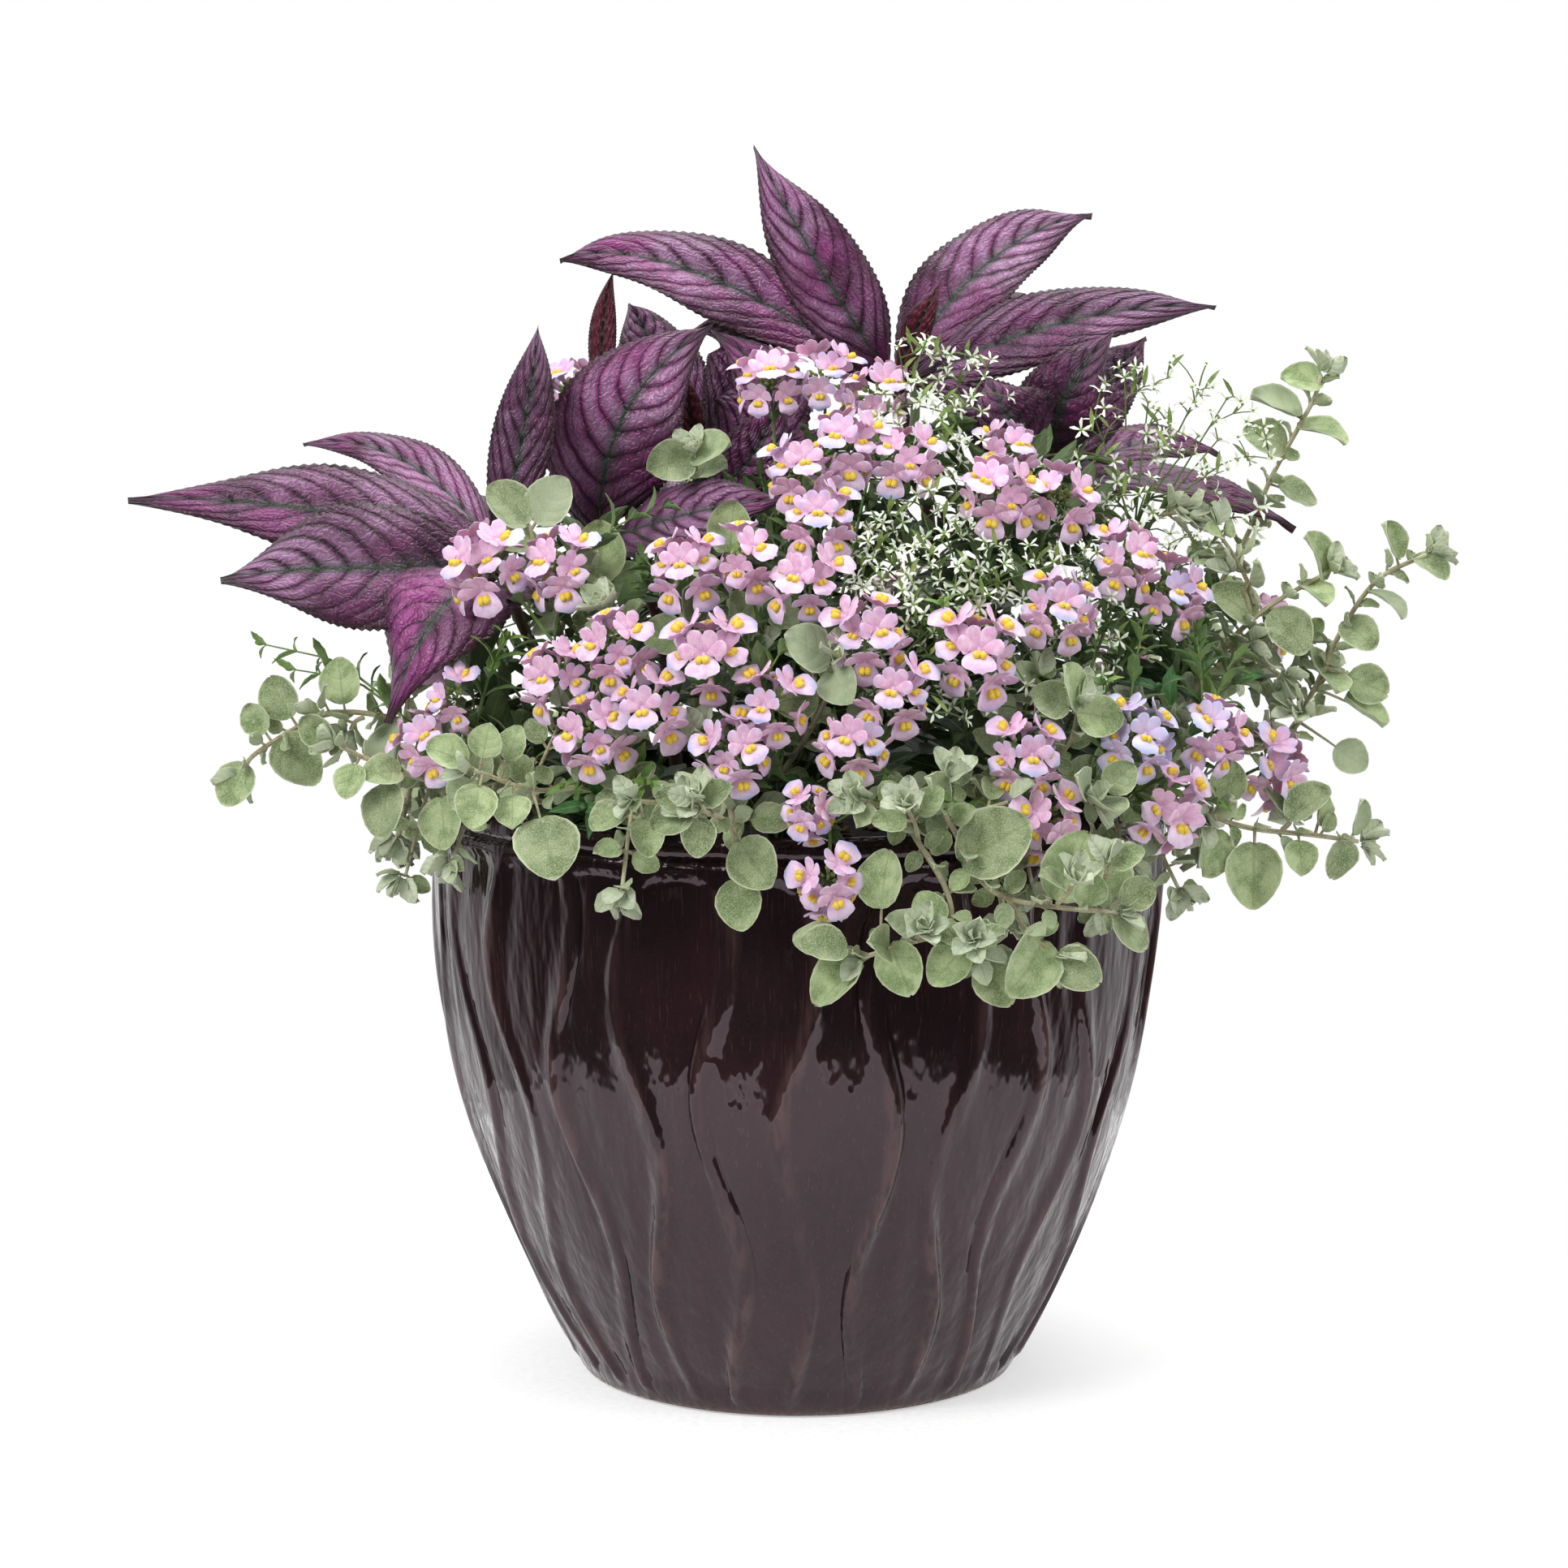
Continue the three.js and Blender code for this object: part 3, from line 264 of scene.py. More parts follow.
def makePiece(name, bag, materials, slotName, *replaced):
    quads, tris = np.concatenate(bag["quads"]), np.concatenate(bag["tris"])
    mesh = bpy.data.meshes.new(name)
    mesh.vertices.add(bag["count"])
    mesh.vertices.foreach_set("co", (np.concatenate(bag["points"]) * millimetre).ravel())
    mesh.loops.add(4 * len(quads) + 3 * len(tris))
    mesh.loops.foreach_set("vertex_index", np.concatenate([quads.ravel(), tris.ravel()]))
    mesh.polygons.add(len(quads) + len(tris))
    starts = np.concatenate([4 * np.arange(len(quads)), 4 * len(quads) + 3 * np.arange(len(tris))])
    mesh.polygons.foreach_set("loop_start", starts)
    mesh.polygons.foreach_set("material_index", np.concatenate(bag["quadPaint"] + bag["triPaint"]))
    mesh.update(calc_edges=True)
    place = mesh.attributes.new("place", "FLOAT_VECTOR", "POINT")
    place.data.foreach_set("vector", np.concatenate(bag["place"]).ravel())
    under = mesh.attributes.new("under", "FLOAT", "POINT")
    under.data.foreach_set("value", np.concatenate(bag["under"]))
    for material in materials:
        mesh.materials.append(material)
    mesh.shade_smooth()
    mesh.set_sharp_from_angle(angle=math.radians(70))
    piece = addObject(name, mesh)
    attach(piece, "root")
    if replaced:
        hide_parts(*replaced)
    triangles["all"] += 2 * len(quads) + len(tris)
    return piece


def report(*words):
    print(*words, triangles["all"] - triangles["told"], "triangles")
    triangles["told"] = triangles["all"]


# Shader nodes: a field is a value, vector or colour over a surface, with plain arithmetic

class Field:
    def __init__(self, tree, socket):
        self.tree, self.socket = tree, socket

    def calc(self, operation, *others):
        return add(self.tree, "ShaderNodeMath", enumerate((self, *others)), operation=operation)[0]

    def __add__(self, other):
        return self.calc("ADD", other)

    def __sub__(self, other):
        return self.calc("SUBTRACT", other)

    def __rsub__(self, other):
        return add(self.tree, "ShaderNodeMath", {0: other, 1: self}, operation="SUBTRACT")[0]

    def __mul__(self, other):
        return self.calc("MULTIPLY", other)

    def __pow__(self, other):
        return self.calc("POWER", other)

    def __abs__(self):
        return self.calc("ABSOLUTE")

    def ease(self, low, high, start=0.0, end=1.0):
        # from start at low to end at high, with soft ends
        limits = {"Value": self, "From Min": low, "From Max": high, "To Min": start, "To Max": end}
        return add(self.tree, "ShaderNodeMapRange", limits, interpolation_type="SMOOTHSTEP")[0]

    def parts(self):
        found = add(self.tree, "ShaderNodeSeparateXYZ", {0: self})
        return found[0], found[1], found[2]


def connect(value, socket):
    if isinstance(value, Field):
        value.tree.links.new(value.socket, socket)
    else:
        socket.default_value = value


def add(tree, kind, values=(), **settings):
    # a new node with links or plain values at its inputs; gives its outputs by number and by name
    node = tree.nodes.new(kind)
    for key, value in settings.items():
        setattr(node, key, value)
    for key, value in dict(values).items():
        connect(value, node.inputs[key])
    outputs = {}
    for number, socket in enumerate(node.outputs):
        outputs[number] = outputs[socket.name] = Field(tree, socket)
    return outputs


def whereOn(tree):
    return add(tree, "ShaderNodeTexCoord")["Object"]


def noise(where, scale, detail):
    return add(where.tree, "ShaderNodeTexNoise", {"Vector": where, "Scale": scale, "Detail": detail})[0]


def layered(colour, *layers):
    # each layer's colour is painted over the last one by its mask
    for mask, over in layers:
        colour = add(mask.tree, "ShaderNodeMix", {0: mask, 6: colour, 7: over}, data_type="RGBA")[2]
    return colour


def tone(red, green, blue):
    # a colour as seen on screen, 0 to 255, as the shader's linear value
    def linear(value):
        value /= 255
        return value / 12.92 if value <= 0.04045 else ((value + 0.055) / 1.055) ** 2.4
    return linear(red), linear(green), linear(blue), 1.0


def newGroup(name, inputs, outputs, build):
    # build works out the outputs, by name, from the group's tree and its given inputs
    group = bpy.data.node_groups.new(name, "ShaderNodeTree")
    for label, kind, *value in inputs:
        socket = group.interface.new_socket(label, in_out="INPUT", socket_type="NodeSocket" + kind)
        if value:
            socket.default_value = value[0]
    for label, kind in outputs:
        group.interface.new_socket(label, in_out="OUTPUT", socket_type="NodeSocket" + kind)
    add(group, "NodeGroupOutput", build(group, add(group, "NodeGroupInput")))
    return group


def named(values):
    return {label.replace("_", " "): value for label, value in values.items()}


def use(material, group, **values):
    return add(material.node_tree, "ShaderNodeGroup", named(values), node_tree=group)


def newMaterial(name, **uniform):
    # a material whose shader holds these uniform values, and the place attribute of what it is on
    material = bpy.data.materials.new(name)
    material.use_nodes = True
    tree = material.node_tree
    tree.nodes.clear()
    shader = add(tree, "ShaderNodeBsdfPrincipled", named(uniform))
    add(tree, "ShaderNodeOutputMaterial", {"Surface": shader[0]})
    return material, add(tree, "ShaderNodeAttribute", attribute_name="place")["Vector"]


def shaderInput(material, label):
    return material.node_tree.nodes["Principled BSDF"].inputs[label]


def underside(material):
    return add(material.node_tree, "ShaderNodeAttribute", attribute_name="under")["Fac"]


def finish(material, colour, roughness, height=None, strength=0.3, distance=0.0005):
    connect(colour, shaderInput(material, "Base Color"))
    connect(roughness, shaderInput(material, "Roughness"))
    if height is not None:
        bump = add(material.node_tree, "ShaderNodeBump",
                   {"Height": height, "Strength": strength, "Distance": distance})
        connect(bump[0], shaderInput(material, "Normal"))
    return material


def leafVeins(tree, given):
    # pinnate veins that leave the midrib and sweep towards the tip, from the leaf's own place
    along, across, random = given["Place"].parts()
    aside = abs(across)
    swept = along - (aside * 0.6 + aside ** 3.0 * 0.5) * given["Sweep"]
    peak = abs((swept * given["Pairs"]).calc("FRACT") - 0.5) * 2.0
    return {"Vein": peak.ease(1 - given["Width"], 1.0), "Puff": 1 - peak ** 2.0,
            "Midrib": aside.ease(given["Midrib Width"], 0.0)}


def mottling(tree, given):
    # uneven patches between two colours, a shade per leaf, and a fine grain
    where = whereOn(tree)
    patch = noise(where, given["Scale"], 4.0).ease(0.36, 0.64)
    grain = noise(where, given["Grain Scale"], 2.0)
    mixed = layered(given["Colour"], (patch, given["Other Colour"]))
    ownShade = given["Spread"] * ((given["Random"] * 7.31).calc("FRACT") - 0.5) + 1.0
    shade = ownShade * grain.ease(0.3, 0.7, 0.93, 1.07)
    shaded = add(tree, "ShaderNodeVectorMath", {0: mixed, "Scale": shade}, operation="SCALE")[0]
    return {"Colour": shaded, "Patch": patch, "Grain": grain}


def nearRim(tree, given):
    # how near a place is to the leaf's side edge or tip
    along, across, random = given["Place"].parts()
    return {"Rim": abs(across).ease(given["Start"], 1.0).calc("MAXIMUM", along.ease(0.93, 1.0))}


veins = newGroup(
    "leaf veins",
    [("Place", "Vector"), ("Pairs", "Float", 9.0), ("Sweep", "Float", 0.2), ("Width", "Float", 0.2),
     ("Midrib Width", "Float", 0.05)],
    [("Vein", "Float"), ("Puff", "Float"), ("Midrib", "Float")], leafVeins)
mottle = newGroup(
    "mottle",
    [("Colour", "Color", (0.5, 0.5, 0.5, 1)), ("Other Colour", "Color", (0.3, 0.3, 0.3, 1)),
     ("Scale", "Float", 60.0), ("Random", "Float", 0.0), ("Spread", "Float", 0.3),
     ("Grain Scale", "Float", 900.0)],
    [("Colour", "Color"), ("Patch", "Float"), ("Grain", "Float")], mottling)
leafRim = newGroup("leaf rim", [("Place", "Vector"), ("Start", "Float", 0.8)], [("Rim", "Float")], nearRim)


def grainedMaterial(name, body, other, scale, grainScale, roughness, bump, spread=0.3, varied=True,
                    **uniform):
    # a plain finish: patches of two colours, a shade for each copy where it is varied, and a fine grain
    material, place = newMaterial(name, **uniform)
    mixed = use(material, mottle, Colour=body, Other_Colour=other, Scale=scale, Spread=spread,
                Random=place.parts()[2] if varied else 0.0, Grain_Scale=grainScale)
    return finish(material, mixed["Colour"], roughness, mixed["Grain"], *bump)


# Glazed pot

potValues = {
    "ribs": 28, "ribDepth": 4.0, "sway": 0.055, "wave": 160.0,
    "baseRadius": 108.0, "bellyRadius": 181.0, "bellyHeight": 250.0, "height": 290.0,
    "mouth": 170.0, "wall": 15.0, "floor": 14.0, "drainRadius": 7.0, "drainRing": 45.0, "drains": 3,
    "ribTop": 271.0, "rowStep": 3.7,
    "crestWidth": 0.145, "creviceDepth": 1.0, "creviceAt": 0.15, "creviceWidth": 0.03, "bulge": 1.2,
    "panelSteps": [0, 0.04, 0.08, 0.12, 0.15, 0.18, 0.25, 0.38, 0.5, 0.62, 0.75, 0.82, 0.85, 0.88, 0.92,
                   0.96],
}


def potRadius(z):
    below = np.maximum(0, 1 - np.asarray(z, float) / potValues["bellyHeight"])
    return potValues["bellyRadius"] - (potValues["bellyRadius"] - potValues["baseRadius"]) * below ** 2


def ribSway(rib, z):
    phase = rib * 2.4 + 1.3 * np.sin(rib * 1.7)
    return potValues["sway"] * np.sin(2 * np.pi * z / potValues["wave"] + phase)


def ribStrength(rib, z):
    # ribs fade and return on their way up
    return 0.82 + 0.24 * np.sin(2 * np.pi * z / 210 + rib * 1.9)


def innerRadius(z):
    return min(potValues["mouth"], float(potRadius(z)) - potValues["wall"])


def potMaterial():
    # place holds nearness to a rib's crest, the height share and a draw for each rib
    material, place = newMaterial("glazed pot", IOR=1.5, Specular_Tint=(1.0, 0.8, 0.9, 1.0))
    nearCrest, heightShare, random = place.parts()
    where = whereOn(place.tree)

    def upright(wide, tall, detail):
        stretched = add(place.tree, "ShaderNodeMapping", {"Vector": where, "Scale": (wide, wide, tall)})
        return noise(stretched[0], 1.0, detail)

    streak, hairline, ripple = upright(160, 9, 5.0), upright(900, 45, 3.0), upright(52, 17, 3.0)
    body = use(material, mottle, Colour=tone(41, 27, 30), Other_Colour=tone(31, 22, 24), Scale=14.0,
               Random=random, Spread=0.2, Grain_Scale=500.0)
    bare = heightShare.ease(0.022, 0.006) * body["Grain"].ease(0.35, 0.65)
    colour = layered(
        body["Colour"],
        (streak.ease(0.48, 0.7) * 0.35, tone(52, 29, 34)),
        (hairline.ease(0.6, 0.72) * 0.25, tone(92, 66, 60)),
        # painted highlight: a paler colour along the rib crests, where they catch the light
        (nearCrest.ease(0.35, 1.0) * streak.ease(0.4, 0.62) * 0.45, tone(92, 68, 66)),
        # painted shade: near black in the fine crevices beside the crests
        (nearCrest.ease(-0.3, -0.9) * 0.8, tone(22, 12, 14)),
        (bare, tone(76, 55, 44)))
    roughness = body["Patch"] * 0.05 + 0.07 + bare * 0.5
    return finish(material, colour, roughness, ripple, 0.75, 0.0045)


def buildPot():
    bag = newBag()
    steps = np.array(potValues["panelSteps"])
    ribs, floor = potValues["ribs"], potValues["floor"]
    ribOf = np.repeat(np.arange(ribs), len(steps))
    t = np.tile(steps, ribs)
    nextRib = (ribOf + 1) % ribs
    before = np.exp(-(t / potValues["crestWidth"]) ** 2)
    after = np.exp(-((1 - t) / potValues["crestWidth"]) ** 2)
    # the fine crease lies right of the even ribs and left of the odd ones
    side = np.where(ribOf % 2 == 0, t, 1 - t)
    crevice = np.exp(-((side - potValues["creviceAt"]) / potValues["creviceWidth"]) ** 2)
    heights = list(np.arange(10, potValues["ribTop"] + 7, potValues["rowStep"]))
    profile = [(28, 0), (62, 0), (96, 0), (104, 0.3), (107, 1.4), (108.6, 3.6), (110, 6.6)]
    profile += [(float(potRadius(z)), z) for z in heights]
    profile += [(178.6, 278.5), (179.2, 280), (180.8, 281.4), (181.6, 283.5), (181.6, 286), (180.6, 288.2),
                (178.6, 289.6), (176, 290), (173.2, 289.6), (171.2, 288.2), (170.2, 286), (170, 282),
                (170, 262), (innerRadius(195), 195), (innerRadius(110), 110),
                (innerRadius(floor), floor + 1.5), (innerRadius(floor) - 2, floor), (62, floor),
                (28, floor)]
    rings, place = [], []
    for row, (radius, z) in enumerate(profile):
        sway = smooth(z, 0, 14) if row < len(heights) + 7 else 1.0
        angle = 2 * np.pi * (ribOf + t) / ribs + sway * (
            (1 - t) * ribSway(ribOf, z) + t * ribSway(nextRib, z))
        outside = 7 <= row < 7 + len(heights)
        arch = potValues["ribTop"] - 6 * (2 * t - 1) ** 2
        fade = smooth(z, 4, 14) * (1 - smooth(z, arch - 2.5, arch + 3)) if outside else 0 * t
        crest = ribStrength(ribOf, z) * before + ribStrength(nextRib, z) * after
        crease = crevice * smooth(np.sin(z / 31 + ribOf * 2.1), -0.4, 0.6)
        depth = (potValues["ribDepth"] * (1 - crest) - potValues["bulge"] * np.sin(np.pi * t) ** 2
                 + potValues["creviceDepth"] * crease)
        at = radius - fade * depth
        rings.append(np.stack([at * np.cos(angle), at * np.sin(angle), np.full_like(angle, z)], -1))
        place.append(np.stack([fade * (crest - crease), np.full_like(t, z / potValues["height"]),
                               (ribOf * 0.37) % 1.0], -1))
    addRings(bag, np.array(rings), np.array(place))
    piece = makePiece("pot_glazed", bag, [potMaterial()], "pot_glaze", "pot")
    for k in range(potValues["drains"]):
        angle = 2 * math.pi * k / potValues["drains"]
        bpy.ops.mesh.primitive_cylinder_add(
            vertices=24, radius=potValues["drainRadius"] * millimetre, depth=0.06,
            location=(potValues["drainRing"] * millimetre * math.cos(angle),
                      potValues["drainRing"] * millimetre * math.sin(angle), 0.01))
        drill = bpy.context.object
        cut = piece.modifiers.new("drain", "BOOLEAN")
        cut.operation, cut.solver, cut.object = "DIFFERENCE", "MANIFOLD", drill
        shaped = bpy.data.meshes.new_from_object(
            piece.evaluated_get(bpy.context.evaluated_depsgraph_get()))
        piece.modifiers.remove(cut)
        bpy.data.objects.remove(drill)
        piece.data = shaped
    shaped.set_sharp_from_angle(angle=math.radians(70))
    report("pot")


buildPot()


# Potting soil with bits of bark

soilValues = {"edge": 262.0, "crown": 10.0, "gap": 0.4, "grain": 1.5, "around": 84, "rows": 27,
              "chips": 260, "chipReach": 164.0, "chipSize": (2.0, 5.5)}


def soilHeight(x, y):
    across = math.hypot(x, y) / potValues["mouth"]
    return soilValues["edge"] + soilValues["crown"] * (1 - across * across)


def soilMaterial():
    material, place = newMaterial("potting soil")
    crumbs = use(material, mottle, Colour=tone(52, 38, 30), Other_Colour=tone(28, 20, 16), Scale=140.0,
                 Grain_Scale=1400.0)
    speck = add(place.tree, "ShaderNodeTexVoronoi", {"Scale": 300.0})["Distance"]
    colour = layered(crumbs["Colour"], (speck.ease(0.12, 0.04, 0.0, 0.7), tone(128, 112, 92)))
    return finish(material, colour, 0.95, crumbs["Patch"] + crumbs["Grain"], 0.8, 0.002)


def buildSoil():
    bag = newBag()
    angle = 2 * np.pi * np.arange(soilValues["around"]) / soilValues["around"]
    gap = soilValues["gap"]
    foot = potValues["floor"] + gap
    rows = [(30, foot), (innerRadius(potValues["floor"]) - gap - 2, foot), (innerRadius(110) - gap, 110),
            (innerRadius(195) - gap, 195), (potValues["mouth"] - gap, 260.5)]
    rows += [(radius, None) for radius in np.linspace(168, 4, soilValues["rows"])]
    rings = []
    for radius, z in rows:
        x, y = radius * np.cos(angle), radius * np.sin(angle)
        if z is None:
            share = (radius / potValues["mouth"]) ** 2
            lump = (np.sin(x * 0.31 + 1.7 * np.sin(y * 0.23)) * np.sin(y * 0.27 + 1.3 * np.sin(x * 0.19))
                    + 0.6 * np.sin(x * 0.83 + y * 0.41) * np.sin(y * 0.77 - x * 0.36))
            z = soilValues["edge"] + soilValues["crown"] * (1 - share) + soilValues["grain"] * (lump - 1.2)
        rings.append(np.stack([x, y, np.broadcast_to(z, x.shape)], -1))
    addRings(bag, np.array(rings), (0, 0, 0))
    for k in range(soilValues["chips"]):
        radius = soilValues["chipReach"] * math.sqrt(draw(k, 61))
        turn = 2 * math.pi * draw(k, 62)
        x, y = radius * math.cos(turn), radius * math.sin(turn)
        size = pick(*soilValues["chipSize"], k, 63)
        way = unit([draw(k, 64) - 0.5, draw(k, 65) - 0.5, 0.3 * (draw(k, 66) - 0.5)])
        centre = np.array([x, y, soilHeight(x, y) - 0.6])
        path = centre + np.array([-1, -0.4, 0.5, 1])[:, None] * way * size
        addTube(bag, path, np.array([0.25, 0.42, 0.4, 0.2]) * size, 6, 1, draw(k, 67))
    bark = grainedMaterial("bark chip", tone(96, 66, 44), tone(58, 38, 26), 220.0, 1600.0, 0.9, (0.7, 0.001),
                           0.7)
    makePiece("soil_and_bark", bag, [soilMaterial(), bark], "potting_soil", "soil")
    report("soil")


buildSoil()


# Stems: smooth curves through the model's own stem points

def stemPoint(point, rise=2.0):
    x, y = point[:2]
    return np.array([x, y, point[2] if len(point) > 2 else soilHeight(x, y) + rise], float)


def stemLine(way):
    return np.array([stemPoint(point) for point in way])


def curveThrough(points, count):
    points = np.asarray(points, float)
    ends = np.concatenate([[2 * points[0] - points[1]], points, [2 * points[-1] - points[-2]]])
    at = np.linspace(0, len(points) - 1, count)
    span = np.minimum(at.astype(int), len(points) - 2)
    w = (at - span)[:, None]
    p0, p1, p2, p3 = (ends[span + k] for k in range(4))
    t0, t1 = 0.5 * (p2 - p0), 0.5 * (p3 - p1)
    return (p1 + t0 * w + (-3 * p1 + 3 * p2 - 2 * t0 - t1) * w ** 2 + (2 * p1 - 2 * p2 + t0 + t1) * w ** 3)


def straightAlong(points, share):
    points = np.asarray(points, float)
    at = min(share * (len(points) - 1), len(points) - 1 - 1e-6)
    ring = int(at)
    return points[ring] + (points[ring + 1] - points[ring]) * (at - ring)


stemShares = [0.03 + 0.94 * k / 47 for k in range(48)]


def nearestOnStems(stems, wanted):
    # the model's own foot of a leaf, and the same place on the smooth stem
    found = [(norm(straightAlong(stem, share) - wanted), k, share)
             for k, stem in enumerate(stems) for share in stemShares]
    distance, k, share = min(found, key=lambda each: each[0])
    foot = straightAlong(stems[k], share)
    path = curveThrough(stems[k], 400)
    return foot, path[int(round(share * 399))]


def addStem(bag, points, low, high, sides, paint=0, random=0.0, rooted=False, step=7.0):
    length = norm(np.diff(points, axis=0), axis=1).sum()
    path = curveThrough(points, max(6, int(length / step)))
    if rooted:
        path = np.concatenate([[path[0] - (0, 0, 12)], path])
    addTube(bag, path, np.linspace(low, high, len(path)), sides, paint, random)
    return path


def bladeCorners(base, via, tip, face, edge, half, fold):
    # the corners of the model's own blade, to find which of its forms stands in the model
    found = [tip]
    for u, width in edge:
        middle, along = bow(base, via, tip, u)
        across = unit(np.cross(along, face))
        up = np.cross(across, along)
        for sign in (1, -1):
            offset = sign * width * half
            found.append(middle + across * offset + up * fold * abs(offset))
    return found


# Purple shoots: long pointed leaves, puckered between dark veins, with fine teeth

purpleValues = {
    "stem": 3.3, "fold": 0.22, "thick": 0.6, "rows": 78, "teeth": 0.04, "veinPairs": 9.5, "sweep": 0.3,
    "pucker": 1.6, "wave": 0.07, "dome": -0.16, "petiole": 1.5,
}
# leaves that the model goes without, where there is room for them
extraPurple = {
    "purple_shoot_right": [
        [[112, -6, 440], [126, -36, 478], [153, -26, 514], 23, [0.1, -0.9, 0.35]],
        [[118, 4, 436], [96, 4, 470], [62, 2, 486], 20, [0.2, -0.85, 0.4]],
    ],
    "purple_shoot_middle": [
        [[-50, 2, 430], [-8, -14, 446], [26, -22, 470], 17, [0.1, -0.9, 0.35]],
        [[-46, 2, 436], [-26, 24, 500], [-54, 30, 510], 19, [0.1, -0.95, 0.2]],
    ],
}
# painted light and shade of single leaves, and the red of young ones: over 1 is a young leaf's own red, 0.96
# the darkest painted shade, 0.13 the palest painted light
purpleLitShadedAndYoung = {
    ("purple_shoot_back", 0): 0.12, ("purple_shoot_back", 4): 1.5, ("purple_shoot_middle", 0): 0.12,
    ("purple_shoot_middle", 1): 1.5, ("purple_shoot_middle", 3): 1.5, ("purple_shoot_left", 4): 0.13,
    ("purple_shoot_right", 0): 0.96, ("purple_shoot_right", 1): 0.96, ("purple_shoot_right", 2): 0.958,
    ("purple_shoot_right", 3): 0.965, ("purple_shoot_right", 6): 0.96, ("purple_shoot_right", 7): 0.96,
    ("purple_shoot_middle", 9): 0.96,
}
frontFace = [0, -0.85, 0.53]
purpleShoots = {
    "purple_shoot_back": {
        "stem": [[62, 72], [70, 62, 350], [64, 44, 430], [46, 28, 490]],
        "leaves": [
            [[28, 22, 489], [10, 0, 544], [-21, 10, 601], 23, [0.2, -0.95, 0.2]],
            [[50, 32, 490], [94, 50, 543], [147, 62, 568], 26, [-0.35, -0.8, 0.45]],
            [[13, 36, 498], [-48, 26, 539], [-116, 20, 546], 24, [0.1, -0.8, 0.6]],
            [[63, 18, 484], [125, -5, 515], [202, -10, 524], 20, [-0.2, -0.85, 0.5]],
            [[52, 12, 488], [58, -4, 513], [70, -2, 536], 8, frontFace],
            [[60, 40, 488], [92, 86, 522], [104, 142, 512], 24, [0, 0.4, 0.9]],
            [[34, 48, 488], [0, 92, 524], [-34, 138, 508], 25, [0, 0.5, 0.85]],
        ],
    },
    "purple_shoot_right": {
        "stem": [[108, 22], [118, 16, 340], [122, 4, 400], [124, 2, 442]],
        "leaves": [
            [[110, -2, 446], [127, -15, 485], [162, 5, 519], 25, [-0.3, -0.85, 0.3]],
            [[126, 10, 446], [150, 24, 482], [172, 36, 508], 20, [-0.4, -0.8, 0.3]],
            [[112, -8, 436], [104, -42, 467], [89, -38, 492], 26, [0.1, -0.95, 0.25]],
            [[128, -4, 434], [182, -30, 440], [238, -45, 420], 20, [0, -0.35, 0.93]],
            [[130, 10, 440], [172, 40, 455], [212, 60, 449], 18, [-0.1, -0.6, 0.8]],
            [[122, 14, 438], [142, 70, 466], [168, 122, 446], 24, [0.1, 0.4, 0.9]],
        ],
    },
    "purple_shoot_middle": {
        "stem": [[-58, 26], [-64, 18, 340], [-72, 6, 380], [-98, -8, 412]],
        "branches": [
            [[-64, 18, 340], [-54, 10, 400], [-46, 4, 440]],
            [[-72, 6, 380], [-84, 18, 430], [-97, 20, 478]],
        ],
        "leaves": [
            [[-101, -10, 412], [-83, -32, 472], [-40, -24, 516], 33, [0.1, -0.93, 0.36]],
            [[-97, 20, 470], [-95, 22, 512], [-90, 28, 540], 7, frontFace],
            [[-52, 8, 436], [-68, 34, 494], [-83, 45, 524], 22, [0.2, -0.9, 0.3]],
            [[-47, 2, 436], [-52, -8, 470], [-53, -6, 492], 8, frontFace],
            [[-97, -14, 406], [-53, -60, 427], [-1, -82, 437], 26, [0.15, -0.8, 0.5]],
            [[-44, 2, 436], [-16, 8, 478], [-42, 14, 512], 24, [0.1, -0.95, 0.2]],
            [[-46, 0, 430], [-22, -20, 452], [-6, -14, 492], 17, [0.1, -0.95, 0.2]],
            [[-60, 14, 408], [-84, 74, 448], [-112, 128, 436], 25, [0, 0.4, 0.9]],
        ],
    },
    "purple_shoot_left": {
        "stem": [[-92, -22], [-112, -34, 330], [-132, -44, 374], [-144, -48, 410]],
        "leaves": [
            [[-140, -46, 410], [-129, -52, 470], [-123, -40, 516], 15, [0.1, -0.95, 0.3]],
            [[-146, -46, 406], [-226, -40, 427], [-319, -45, 434], 26, [0, -0.82, 0.57]],
            [[-145, -40, 408], [-190, 2, 448], [-243, 22, 456], 15, [0, -0.75, 0.66]],
            [[-144, -52, 396], [-206, -84, 404], [-268, -102, 401], 35, [0.1, -0.85, 0.5]],
            [[-132, -50, 386], [-162, -96, 390], [-192, -112, 334], 37, [-0.4, -0.85, 0.35]],
            [[-146, -38, 400], [-180, 34, 428], [-206, 92, 402], 22, [-0.2, 0.3, 0.9]],
        ],
    },
}


def purpleWidth(u):
    return 4.75 * u ** 0.95 * (1 - u) ** 1.35


